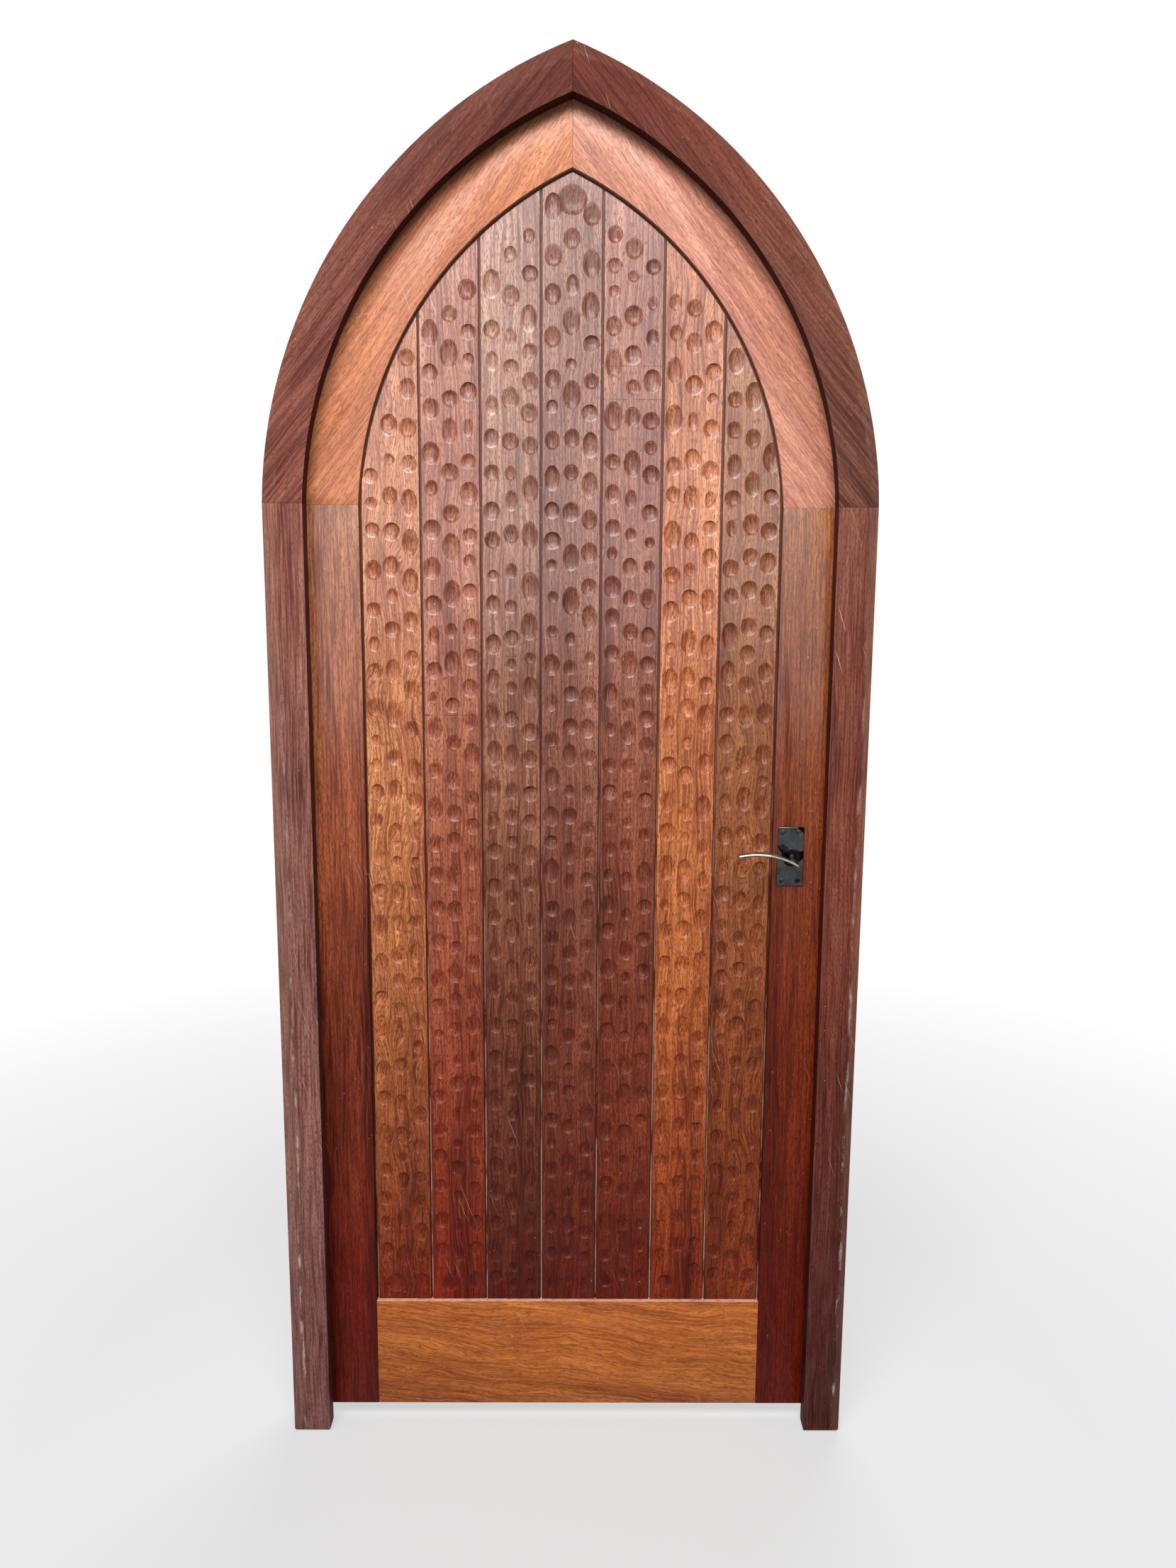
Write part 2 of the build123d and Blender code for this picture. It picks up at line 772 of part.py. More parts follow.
faceplate_screw_reach = faceplate_length / 2 - faceplate_screw_inset
edge_plane = Plane(origin=(leaf_half, 0, plate_centre_z), x_dir=(0, 0, 1), z_dir=(1, 0, 0))
with BuildPart() as faceplate:
    add(faceplate_blank())
    add(
        block(
            (plate_face, -bolt_thickness / 2 - bolt_clearance, latch_z - bolt_height / 2 - bolt_clearance),
            (leaf_half, bolt_thickness / 2 + bolt_clearance, latch_z + bolt_height / 2 + bolt_clearance),
        ),
        mode=Mode.SUBTRACT,
    )
    with Locations(edge_plane):
        with Locations((-faceplate_screw_reach, 0), (faceplate_screw_reach, 0)):
            CounterSinkHole(screw_shank_radius + screw_fit, screw_head_radius + screw_fit, faceplate_thickness)
keep(faceplate.part, "latch_faceplate")
faceplate_screw_places = [
    Plane(origin=(leaf_half, 0, plate_centre_z + shift), z_dir=(1, 0, 0))
    for shift in (-faceplate_screw_reach, faceplate_screw_reach)
]
keep(screws(screw_length, faceplate_screw_places), "faceplate_screws")

# Strike plate in the jamb's rebate
strike_screw_reach = strike_length / 2 - strike_screw_inset
strike_plane = Plane(origin=(strike_face, 0, latch_z), x_dir=(0, 0, 1), z_dir=(-1, 0, 0))
with BuildPart() as strike_plate:
    add(strike_blank())
    add(
        block(
            (strike_face, -pocket_half_y, latch_z - pocket_half_z),
            (strike_face + strike_thickness, pocket_half_y, latch_z + pocket_half_z),
        ),
        mode=Mode.SUBTRACT,
    )
    with Locations(strike_plane):
        with Locations((-strike_screw_reach, 0), (strike_screw_reach, 0)):
            CounterSinkHole(screw_shank_radius + screw_fit, screw_head_radius + screw_fit, strike_thickness)
keep(strike_plate.part, "strike_plate")
strike_screw_places = [
    Plane(origin=(strike_face, 0, latch_z + shift), z_dir=(-1, 0, 0))
    for shift in (-strike_screw_reach, strike_screw_reach)
]
keep(screws(screw_length, strike_screw_places), "strike_screws")

os.makedirs("parts", exist_ok=True)
for name, part in finished.items():
    export_step(part, f"parts/{name}.step")
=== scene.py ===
# Arched hardwood door: looks around the CAD part. Metres, +X right, +Z up, the front faces -Y.
import json
from math import acos, asin, atan2, cos, pi, radians, sin, sqrt
from random import Random

import bpy
from mathutils import Euler, Matrix, Vector

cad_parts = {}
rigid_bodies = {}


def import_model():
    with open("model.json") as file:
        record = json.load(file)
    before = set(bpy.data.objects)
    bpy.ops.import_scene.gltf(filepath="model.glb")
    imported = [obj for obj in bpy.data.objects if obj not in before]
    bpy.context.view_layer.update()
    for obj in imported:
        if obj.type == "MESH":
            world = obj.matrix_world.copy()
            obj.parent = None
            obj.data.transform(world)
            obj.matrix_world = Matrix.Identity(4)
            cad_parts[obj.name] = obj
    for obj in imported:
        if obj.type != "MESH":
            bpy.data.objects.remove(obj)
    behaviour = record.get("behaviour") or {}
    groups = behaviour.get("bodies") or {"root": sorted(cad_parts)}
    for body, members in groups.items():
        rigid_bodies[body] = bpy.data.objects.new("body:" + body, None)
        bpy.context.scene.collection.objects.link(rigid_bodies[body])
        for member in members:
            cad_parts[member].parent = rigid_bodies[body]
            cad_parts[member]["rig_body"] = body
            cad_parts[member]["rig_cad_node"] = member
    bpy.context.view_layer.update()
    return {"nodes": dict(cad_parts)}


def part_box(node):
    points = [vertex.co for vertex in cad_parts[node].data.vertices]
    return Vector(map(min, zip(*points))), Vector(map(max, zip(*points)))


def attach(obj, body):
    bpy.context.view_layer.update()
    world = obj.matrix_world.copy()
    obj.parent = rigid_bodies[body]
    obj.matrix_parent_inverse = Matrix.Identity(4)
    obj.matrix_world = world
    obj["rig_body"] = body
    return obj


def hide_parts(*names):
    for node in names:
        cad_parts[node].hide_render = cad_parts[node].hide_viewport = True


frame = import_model()
scene = bpy.context.scene
print("frame loaded:", len(frame["nodes"]), "nodes")

# Camera, as the photograph was taken: a wide lens just under 2 m away, looking slightly down
cameraSettings = {
    "place": (0.015, -1.849, 1.398),
    "down": 9.0525,
    "right": 0.419,
    "roll": 0.385,
    "lens": 27.05,
}

cameraData = bpy.data.cameras.new("doorCamera")
cameraData.lens = cameraSettings["lens"]
cameraData.sensor_width = 36
camera = bpy.data.objects.new("doorCamera", cameraData)
scene.collection.objects.link(camera)
facing = Euler((radians(90 - cameraSettings["down"]), 0, radians(-cameraSettings["right"]))).to_matrix()
camera.matrix_world = Matrix.Translation(cameraSettings["place"]) @ (
    facing @ Matrix.Rotation(radians(cameraSettings["roll"]), 3, "Z")
).to_4x4()
scene.camera = camera

# Measures taken from the frame
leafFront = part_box("stile_left")[0].y
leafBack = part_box("stile_left")[1].y
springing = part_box("stile_left")[1].z
panelHalf = -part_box("stile_left")[1].x
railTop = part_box("bottom_rail")[1].z
panel = {"arcHeight": springing - 0.025, "offset": 0.2342, "radius": 0.5568}
outerArch = {"offset": 0.2486, "radius": 0.709}
boards = {
    "count": 7,
    "gap": 0.0036,
    "front": leafFront + 0.007,
    "lip": 0.005,
    "tongueThickness": 0.008,
    "thickness": 0.030,
    "tongue": 0.006,
    "groove": 0.0065,
    "play": 0.0005,
    "arris": 0.0007,
    "archSteps": 10,
    "cutThreshold": 1e-6,
}
scoops = {
    "seed": 40,
    "columns": 3,
    "spacing": 28.5,
    "widths": (23.0, 28.0),
    "smallShare": 0.2,
    "smallScale": 0.72,
    "stretch": (1.0, 1.1, 1.25, 1.6),
    "rest": (13.0, 34.0),
    "margin": 14.0,
    "depth": 0.0041,
    "deepest": 0.0047,
    "usualWidth": 25.5,
    "rimAngle": 45,
    "segments": 24,
    "rings": 12,
    "apexWidth": 0.044,
    "apexDrop": 0.042,
    "lean": 1.5,
    # by board: x from its middle, height above the rail, width
    "large": {0: (-0.014, 0.030, 0.035), 1: (-0.014, 0.030, 0.034), 5: (-0.019, 0.031, 0.027)},
    "largeReach": 0.022,
}
boardPitch = (2 * panelHalf - boards["gap"]) / boards["count"]


# Small helpers for working by hand from a script
def selectNone():
    for item in bpy.context.selected_objects:
        item.select_set(False)


def pick(item):
    selectNone()
    item.select_set(True)
    bpy.context.view_layer.objects.active = item


def edit(item):
    pick(item)
    bpy.ops.object.mode_set(mode="EDIT")


def leaveEdit():
    bpy.ops.object.mode_set(mode="OBJECT")


def added(name):
    # the primitive that has just been added
    item = bpy.context.active_object
    item.name = name
    item.data.name = name
    return item


def settle(item):
    # puts the object's place into its mesh
    pick(item)
    bpy.ops.object.transform_apply(location=True, rotation=True, scale=True)
    return item


def cube(name, low, high):
    selectNone()
    size = [b - a for a, b in zip(low, high)]
    middle = [(a + b) / 2 for a, b in zip(low, high)]
    bpy.ops.mesh.primitive_cube_add(size=1, location=middle, scale=size)
    return settle(added(name))


def selectParts(item, mode, vertexTest=None, edgeTest=None, faceTest=None):
    # clears the selection, then selects by place or normal in the matching select mode
    scene.tool_settings.mesh_select_mode = [mode == kind for kind in ("VERT", "EDGE", "FACE")]
    mesh = item.data
    for vertex in mesh.vertices:
        vertex.select = bool(vertexTest and vertexTest(vertex.co))
    for edge in mesh.edges:
        ends = [mesh.vertices[number].co for number in edge.vertices]
        edge.select = bool(edgeTest and edgeTest(*ends))
    for face in mesh.polygons:
        face.select = bool(faceTest and faceTest(face))


def selectVertices(item, test):
    selectParts(item, "VERT", vertexTest=test)


def selectEdges(item, test):
    selectParts(item, "EDGE", edgeTest=test)


def selectFaces(item, test):
    selectParts(item, "FACE", faceTest=test)


def bevelEdges(item, test, width, segments=2):
    selectEdges(item, test)
    edit(item)
    bpy.ops.mesh.bevel(offset=width, segments=segments, affect="EDGES")
    leaveEdit()


def joined(items, name):
    selectNone()
    for item in items:
        item.select_set(True)
    bpy.context.view_layer.objects.active = items[0]
    if len(items) > 1:
        bpy.ops.object.join()
    return added(name)


def copied(item, name):
    twin = item.copy()
    twin.data = item.data.copy()
    scene.collection.objects.link(twin)
    twin.name = name
    twin.data.name = name
    return twin


def recalculated(item):
    edit(item)
    bpy.ops.mesh.select_all(action="SELECT")
    bpy.ops.mesh.normals_make_consistent(inside=False)
    leaveEdit()
    return item


def smoothed(item, angle=30):
    pick(item)
    bpy.ops.object.shade_smooth_by_angle(angle=radians(angle), keep_sharp_edges=True)
    return item


def applied(item, kind, **values):
    pick(item)
    modifier = item.modifiers.new(kind.lower(), kind)
    for key, value in values.items():
        setattr(modifier, key, value)
    bpy.ops.object.modifier_apply(modifier=modifier.name)
    return item


def finished(item, body, slot, material, *nodes):
    item.data.materials.clear()
    item.data.materials.append(material)
    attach(item, body)
    if nodes:
        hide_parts(*nodes)
    return item


# Node helpers
def ink(code):
    # a colour as it is written on screen, such as "a0522d"
    shares = [int(code[place : place + 2], 16) / 255 for place in (0, 2, 4)]
    return [share / 12.92 if share <= 0.04045 else ((share + 0.055) / 1.055) ** 2.4 for share in shares] + [1]


def shade(code, red, others):
    # the same colour with its red and its green and blue made stronger or weaker
    r, g, b, a = ink(code)
    return [min(1, r * red), min(1, g * others), min(1, b * others), a]


class NodeSheet:
    # a node tree with short ways to add and join nodes
    def __init__(self, tree):
        self.tree = tree

    def add(self, kind, **values):
        node = self.tree.nodes.new(kind)
        for key, value in values.items():
            setattr(node, key, value)
        return node

    def feed(self, socket, value):
        if isinstance(value, bpy.types.NodeSocket):
            self.tree.links.new(value, socket)
        else:
            socket.default_value = value

    def calc(self, operation, *values, clamp=False):
        node = self.add("ShaderNodeMath", operation=operation, use_clamp=clamp)
        for socket, value in zip(node.inputs, values):
            self.feed(socket, value)
        return node.outputs[0]

    def times(self, a, b, clamp=False):
        return self.calc("MULTIPLY", a, b, clamp=clamp)

    def plus(self, a, b):
        return self.calc("ADD", a, b)

    def minus(self, a, b, clamp=False):
        return self.calc("SUBTRACT", a, b, clamp=clamp)

    def scaled(self, vector, scale):
        node = self.add("ShaderNodeVectorMath", operation="MULTIPLY")
        self.feed(node.inputs[0], vector)
        node.inputs[1].default_value = scale
        return node.outputs[0]

    def noise(self, vector, scale=1, detail=2, roughness=0.5, distortion=0):
        node = self.add("ShaderNodeTexNoise")
        self.feed(node.inputs["Vector"], vector)
        node.inputs["Scale"].default_value = scale
        node.inputs["Detail"].default_value = detail
        node.inputs["Roughness"].default_value = roughness
        node.inputs["Distortion"].default_value = distortion
        return node.outputs[0]

    def span(self, value, low, high, toLow=0, toHigh=1):
        node = self.add("ShaderNodeMapRange")
        self.feed(node.inputs["Value"], value)
        self.feed(node.inputs["From Min"], low)
        self.feed(node.inputs["From Max"], high)
        node.inputs["To Min"].default_value = toLow
        node.inputs["To Max"].default_value = toHigh
        return node.outputs[0]

    def mix(self, share, first, second, blend="MIX"):
        node = self.add("ShaderNodeMix", data_type="RGBA", blend_type=blend)
        self.feed(node.inputs["Factor"], share)
        self.feed(node.inputs[6], first)
        self.feed(node.inputs[7], second)
        return node.outputs[2]

    def parts(self, vector):
        node = self.add("ShaderNodeSeparateXYZ")
        self.feed(node.inputs[0], vector)
        return node.outputs

    def vector(self, x, y, z):
        node = self.add("ShaderNodeCombineXYZ")
        for socket, value in zip(node.inputs, (x, y, z)):
            self.feed(socket, value)
        return node.outputs[0]

    def group(self, tree, **values):
        node = self.add("ShaderNodeGroup")
        node.node_tree = tree
        for key, value in values.items():
            self.feed(node.inputs[key], value)
        return node.outputs


def newGroup(name, inputs, outputs):
    tree = bpy.data.node_groups.new(name, "ShaderNodeTree")
    for title, kind, value in inputs:
        socket = tree.interface.new_socket(name=title, in_out="INPUT", socket_type="NodeSocket" + kind)
        if value is not None:
            socket.default_value = value
    for title, kind in outputs:
        tree.interface.new_socket(name=title, in_out="OUTPUT", socket_type="NodeSocket" + kind)
    sheet = NodeSheet(tree)
    start = sheet.add("NodeGroupInput")
    end = sheet.add("NodeGroupOutput")
    return tree, sheet, start.outputs, end.inputs


# Hardwood: broad ribbon stripes, fine fibres that wander, short dark pores and a soft mottle.
# The grain runs along the vector's Z.
def makeWoodGrain():
    tree, sheet, given, out = newGroup(
        "woodGrain",
        [
            ("Vector", "Vector", None),
            ("Base", "Color", (0.4, 0.15, 0.08, 1)),
            ("Contrast", "Float", 0.3),
            ("Stripes", "Float", 0.5),
            ("Wander", "Float", 0.5),
            ("Pores", "Float", 0.5),
        ],
        [("Color", "Color"), ("Pore Mask", "Float"), ("Height", "Float")],
    )
    vector = given["Vector"]
    drift = sheet.noise(sheet.scaled(vector, (16, 16, 7)), detail=2)
    across, depth, along = sheet.parts(vector)
    shift = sheet.times(sheet.minus(drift, 0.5), sheet.times(given["Wander"], 0.05))
    wandering = sheet.vector(sheet.plus(across, shift), depth, along)
    ribbon = sheet.noise(sheet.scaled(wandering, (30, 30, 0.9)), detail=3, roughness=0.6)
    ribbon = sheet.span(ribbon, 0.32, 0.68)
    mottle = sheet.span(sheet.noise(sheet.scaled(vector, (11, 11, 3.5)), detail=3), 0.3, 0.7)
    fibre = sheet.noise(sheet.scaled(wandering, (330, 330, 11)), detail=3, roughness=0.65)
    fibre = sheet.span(fibre, 0.36, 0.64)
    tone = sheet.times(sheet.minus(ribbon, 0.5), given["Stripes"])
    tone = sheet.plus(tone, sheet.times(sheet.minus(mottle, 0.5), 0.5))
    tone = sheet.plus(tone, sheet.times(sheet.minus(fibre, 0.5), 1.0))
    light = sheet.plus(sheet.times(tone, sheet.times(given["Contrast"], 2)), 1)
    light = sheet.calc("MAXIMUM", light, 0.2)
    others = sheet.calc("POWER", light, 1.4)
    colour = sheet.mix(1, given["Base"], sheet.vector(light, others, others), "MULTIPLY")
    streak = sheet.mix(1, given["Base"], (0.4, 0.3, 0.28, 1), "MULTIPLY")
    streaks = sheet.noise(sheet.scaled(wandering, (45, 45, 0.6)), detail=4, roughness=0.7)
    band = sheet.span(streaks, 0.56, 0.68)
    colour = sheet.mix(sheet.times(band, 0.45), colour, streak)
    dash = sheet.noise(sheet.scaled(wandering, (800, 800, 125)), detail=1)
    dash = sheet.span(dash, 0.52, 0.62)
    pores = sheet.times(dash, given["Pores"])
    colour = sheet.mix(sheet.times(pores, 0.85), colour, streak)
    sheet.feed(out["Color"], colour)
    sheet.feed(out["Pore Mask"], pores)
    height = sheet.minus(sheet.times(fibre, 0.4), pores)
    sheet.feed(out["Height"], height)
    return tree


# Wear: pale specks, fine scratches and dust that gathers low down
def makeWear():
    tree, sheet, given, out = newGroup(
        "wear",
        [("Vector", "Vector", None), ("Amount", "Float", 0.5)],
        [("Specks", "Float"), ("Scratches", "Float"), ("Dust", "Float")],
    )
    vector = given["Vector"]
    specks = sheet.span(sheet.noise(sheet.scaled(vector, (260, 260, 190)), detail=1), 0.775, 0.795)
    across, depth, along = sheet.parts(vector)
    leaning = sheet.plus(across, sheet.times(along, 0.35))
    lines = sheet.noise(sheet.vector(sheet.times(leaning, 420), depth, sheet.times(along, 9)), detail=1)
    patch = sheet.span(sheet.noise(sheet.scaled(vector, (5, 5, 4))), 0.52, 0.66)
    scratches = sheet.times(sheet.span(lines, 0.70, 0.735), patch)
    low = sheet.span(along, 0.0, 0.75, 1, 0)
    dust = sheet.times(low, sheet.span(sheet.noise(sheet.scaled(vector, (60, 60, 18)), detail=4), 0.42, 0.68))
    for title, value in (("Specks", specks), ("Scratches", scratches), ("Dust", dust)):
        sheet.feed(out[title], sheet.times(value, given["Amount"], clamp=True))
    return tree


# Unfinished band round the outer edge of the frame, with a thin broken line of residue on its inner side
def makeOuterBand():
    tree, sheet, given, out = newGroup(
        "outerBand",
        [("Vector", "Vector", None), ("Left Width", "Float", 0.02), ("Right Width", "Float", 0.011)],
        [("Band", "Float"), ("Residue", "Float"), ("Inner", "Float")],
    )
    across, depth, along = sheet.parts(given["Vector"])
    outward = sheet.calc("ABSOLUTE", across)
    above = sheet.calc("MAXIMUM", sheet.minus(along, panel["arcHeight"]), 0)
    reach = sheet.plus(outward, outerArch["offset"])
    radius = sheet.calc("SQRT", sheet.plus(sheet.times(reach, reach), sheet.times(above, above)))
    fromEdge = sheet.minus(outerArch["radius"] - 0.0006, radius)
    sheet.feed(out["Inner"], sheet.calc("GREATER_THAN", fromEdge, 0.03))
    side = sheet.calc("GREATER_THAN", across, 0)
    change = sheet.minus(given["Right Width"], given["Left Width"])
    width = sheet.plus(given["Left Width"], sheet.times(side, change))
    ripple = sheet.noise(sheet.scaled(given["Vector"], (9, 9, 4)), detail=5, roughness=0.6)
    wobble = sheet.times(sheet.minus(ripple, 0.5), 0.014)
    edge = sheet.plus(width, wobble)
    inside = sheet.minus(edge, fromEdge)
    sheet.feed(out["Band"], sheet.span(inside, -0.0015, 0.002))
    near = sheet.minus(1, sheet.span(sheet.calc("ABSOLUTE", inside), 0.0004, 0.0035), clamp=True)
    flakes = sheet.noise(sheet.scaled(given["Vector"], (70, 70, 22)), detail=4, roughness=0.7)
    broken = sheet.span(flakes, 0.5, 0.66)
    sheet.feed(out["Residue"], sheet.times(near, broken))
    return tree


woodGrain = makeWoodGrain()
wear = makeWear()
outerBand = makeOuterBand()
print("node groups made")


def newMaterial(name):
    material = bpy.data.materials.new(name)
    material.use_nodes = True
    sheet = NodeSheet(material.node_tree)
    shader = material.node_tree.nodes["Principled BSDF"]
    place = sheet.add("ShaderNodeTexCoord")
    return material, sheet, shader, place


grains = {
    "frame": {
        "contrast": 0.45, "stripes": 0.6, "wander": 0.2, "pores": 0.8,
        "shine": 0.08, "coat": 0, "rough": 0.65,
    },
    "stile": {"contrast": 0.5, "stripes": 0.9, "wander": 0.15, "pores": 0.8, "shine": 0.1, "coat": 0.3},
    "head": {"contrast": 0.25, "stripes": 0.5, "wander": 0.5, "pores": 0.7, "shine": 0.15, "coat": 0.12},
    "rail": {"contrast": 0.35, "stripes": 0.8, "wander": 0.9, "pores": 0.7, "shine": 0.15, "coat": 0.1},
    "board": {"contrast": 0.5, "stripes": 0.6, "wander": 0.5, "pores": 1.0, "shine": 0.12, "coat": 0.45},
}
# base is the colour at mid height; low and high weigh its red, green and blue at the foot and at the top:
# painted light and shade by height, for the light that falls from above
woods = {
    "jambLeft": {"kind": "frame", "base": "784e44", "low": (0.95, 0.9, 1.05), "high": (0.92, 0.63, 0.47)},
    "jambRight": {"kind": "frame", "base": "6c3628", "low": (0.58, 0.5, 0.7), "high": (0.7, 1.0, 1.08)},
    "frameHeadLeft": {
        "kind": "frame", "base": "744136", "low": (1, 1, 1), "high": (0.32, 0.16, 0.11),
        "from": (1.5, 2.2), "lean": 40,
    },
    "frameHeadRight": {
        "kind": "frame", "base": "5e392d", "low": (1, 1, 1), "high": (0.75, 0.31, 0.2),
        "from": (1.5, 2.2), "lean": -40,
    },
    "stileLeft": {"kind": "stile", "base": "7a3a20", "low": (0.52, 0.12, 0.08), "high": (1.15, 2.2, 3.0)},
    "stileRight": {"kind": "stile", "base": "682b10", "low": (0.7, 0.2, 0.1), "high": (1.35, 2.7, 3.4)},
    "leafHeadLeft": {"kind": "head", "base": "a3623f", "low": (1, 1, 1), "high": (1, 1, 1), "lean": 38},
    "leafHeadRight": {"kind": "head", "base": "aa6f58", "low": (1, 1, 1), "high": (1, 1, 1), "lean": -38},
    "rail": {"kind": "rail", "base": "a45926", "low": (1, 1, 1), "high": (1, 1, 1), "lean": 97},
    "board1": {
        "kind": "board", "base": "a8663d", "low": (0.36, 0.1, 0.03), "high": (0.8, 0.95, 1.5), "wander": 1.2,
    },
    "board2": {"kind": "board", "base": "82442e", "low": (0.74, 0.19, 0.04), "high": (1.15, 1.7, 2.3)},
    "board3": {"kind": "board", "base": "784731", "low": (0.38, 0.08, 0.06), "high": (1.3, 1.9, 2.8)},
    "board4": {"kind": "board", "base": "6c3a29", "low": (0.64, 0.18, 0.1), "high": (1.15, 1.7, 2.2)},
    "board5": {"kind": "board", "base": "723925", "low": (0.6, 0.17, 0.08), "high": (1.3, 2.1, 3.2)},
    "board6": {"kind": "board", "base": "a35b31", "low": (0.47, 0.17, 0.05), "high": (0.85, 1.1, 1.8)},
    "board7": {
        "kind": "board", "base": "7e4625", "low": (0.72, 0.33, 0.17), "high": (1.0, 1.3, 2.0), "wander": 1.0,
    },
    "tenon": {"kind": "frame", "base": "9a6244", "low": (1, 1, 1), "high": (1, 1, 1)},
}

varnish = {
    "roughness": 0.4,
    "poreRoughness": 0.65,
    "coatLow": 0.02,
    "coatRoughness": 0.2,
    "dust": "b9a090",
    "speck": "d8c4b4",
    "bump": 0.25,
    "bumpDepth": 0.0003,
}


def woodMaterial(name, wearAmount=0.5, band=False, scooped=False, topDustAndSheen=False, joints=()):
    kind = grains[woods[name]["kind"]]
    wood = {"lean": 0, "from": (1.05, 1.85), "rough": varnish["roughness"], **kind, **woods[name]}
    seed = list(woods).index(name) + 1
    material, sheet, shader, place = newMaterial(name)
    coords = place.outputs["Object"]
    turned = sheet.add("ShaderNodeMapping", vector_type="TEXTURE")
    turned.inputs["Rotation"].default_value = (0, radians(wood["lean"]), 0)
    turned.inputs["Location"].default_value = (0.37 * seed, 0.11 * seed, 0.23 * seed)
    sheet.feed(turned.inputs["Vector"], coords)
    across, depth, along = sheet.parts(coords)
    base = ink(wood["base"])
    foot, top = [[part * share for part, share in zip(base, wood[end])] + [1] for end in ("low", "high")]
    # painted light and shade: the base colour changes with height, as light from above would change it
    base = sheet.mix(sheet.span(along, 0.25, 1.05), foot, base)
    base = sheet.mix(sheet.span(along, *wood["from"]), base, top)
    grain = sheet.group(
        woodGrain,
        **{
            "Vector": turned.outputs[0],
            "Base": base,
            "Contrast": wood["contrast"],
            "Stripes": wood["stripes"],
            "Wander": wood["wander"],
            "Pores": wood["pores"],
        },
    )
    colour = grain["Color"]
    marks = sheet.group(wear, Vector=coords, Amount=wearAmount)
    height = grain["Height"]
    scratches = marks["Scratches"]
    if band:
        widths = {"Left Width": bandSettings["left"], "Right Width": bandSettings["right"]}
        edge = sheet.group(outerBand, Vector=coords, **widths)
        raw = sheet.mix(0.12 if name.startswith("jamb") else 0.05, colour, ink(bandSettings["colour"]))
        colour = sheet.mix(edge["Band"], colour, raw)
        facing = sheet.calc("ABSOLUTE", sheet.parts(place.outputs["Normal"])[1])
        # the curved edges cut across the fibres, where the grain's relief would only glitter
        frontal = sheet.span(facing, 0.5, 0.8)
        height = sheet.times(height, frontal)
        scratches = sheet.times(scratches, frontal)
        # painted shade: the frame's inner faces that turn away from the front lie in shadow and are darkened
        revealShade = sheet.times(edge["Inner"], sheet.span(facing, 0.5, 0.8, 1, 0))
        colour = sheet.mix(revealShade, colour, sheet.mix(1, colour, (0.3, 0.18, 0.18, 1), "MULTIPLY"))
        low = sheet.span(along, 0.1, 1.5, 0.9, 0.05)
        residue = sheet.times(edge["Residue"], sheet.span(facing, 0.5, 0.8))
        colour = sheet.mix(sheet.times(residue, low), colour, ink(bandSettings["residue"]))
    for level in joints:
        line = sheet.calc("COMPARE", along, level, 0.0006)
        faint = sheet.span(sheet.noise(sheet.scaled(coords, (60, 60, 60)), detail=1), 0.4, 0.6)
        colour = sheet.mix(sheet.times(line, faint), colour, shade(wood["base"], 0.35, 0.25))
    coat = sheet.span(along, 0.7, 1.5, varnish["coatLow"], wood["coat"])
    if scooped:
        # the gouge laid the fibres open, so the bowls are darker, richer and less glossy than the face
        lipBack = boards["front"] + boards["lip"]
        ahead = sheet.calc("LESS_THAN", depth, lipBack + boards["tongueThickness"] / 2)
        bowl = sheet.times(ahead, sheet.span(depth, boards["front"] + 0.0002, boards["front"] + 0.0013))
        colour = sheet.mix(bowl, colour, sheet.mix(1, colour, (0.84, 0.74, 0.7, 1), "MULTIPLY"))
        coat = sheet.times(coat, sheet.minus(1, sheet.times(bowl, 0.6)))
        # the tongue's face at the bottom of each joint gap is dark: partly varnish soaked into the joint,
        # partly painted shade of the gap
        deep = sheet.span(depth, lipBack - 0.0002, lipBack - 0.0001)
        deep = sheet.times(deep, ahead)
        colour = sheet.mix(deep, colour, ink("4a2016"))
        # dust lies in a thin line on one side of each joint
        fromJoint = sheet.calc("WRAP", sheet.plus(across, panelHalf - boards["gap"] / 2), boardPitch, 0)
        thin = sheet.calc("LESS_THAN", fromJoint, boards["gap"] * 0.4)
        dusty = sheet.span(sheet.noise(sheet.scaled(coords, (40, 40, 14)), detail=4), 0.42, 0.54)
        dusty = sheet.times(sheet.times(dusty, thin), sheet.span(along, 0.35, 1.35, 1, 0))
        colour = sheet.mix(sheet.times(deep, dusty), colour, ink(varnish["dust"]))
    if topDustAndSheen:
        # the upward faces are paler: dust, and painted light on faces turned up to the light
        up = sheet.span(sheet.parts(place.outputs["Normal"])[2], 0.6, 0.8)
        patchy = sheet.span(sheet.noise(sheet.scaled(coords, (90, 90, 30)), detail=4), 0.3, 0.55, 0.35, 1)
        colour = sheet.mix(sheet.times(up, patchy), colour, ink("c79a8c"))
    colour = sheet.mix(sheet.times(marks["Dust"], 0.07), colour, ink(varnish["dust"]))
    colour = sheet.mix(sheet.calc("MAXIMUM", marks["Specks"], scratches), colour, ink(varnish["speck"]))
    sheet.feed(shader.inputs["Base Color"], colour)
    rough = sheet.span(grain["Pore Mask"], 0, 1, wood["rough"], varnish["poreRoughness"])
    sheet.feed(shader.inputs["Roughness"], rough)
    shader.inputs["Specular IOR Level"].default_value = wood["shine"]
    sheet.feed(shader.inputs["Coat Weight"], coat)
    shader.inputs["Coat Roughness"].default_value = varnish["coatRoughness"]
    bump = sheet.add("ShaderNodeBump")
    bump.inputs["Strength"].default_value = varnish["bump"]
    bump.inputs["Distance"].default_value = varnish["bumpDepth"]
    sheet.feed(bump.inputs["Height"], height)
    sheet.feed(shader.inputs["Normal"], bump.outputs[0])
    return material


bandSettings = {"left": 0.019, "right": 0.011, "colour": "9a7c68", "residue": "c8b8a8"}

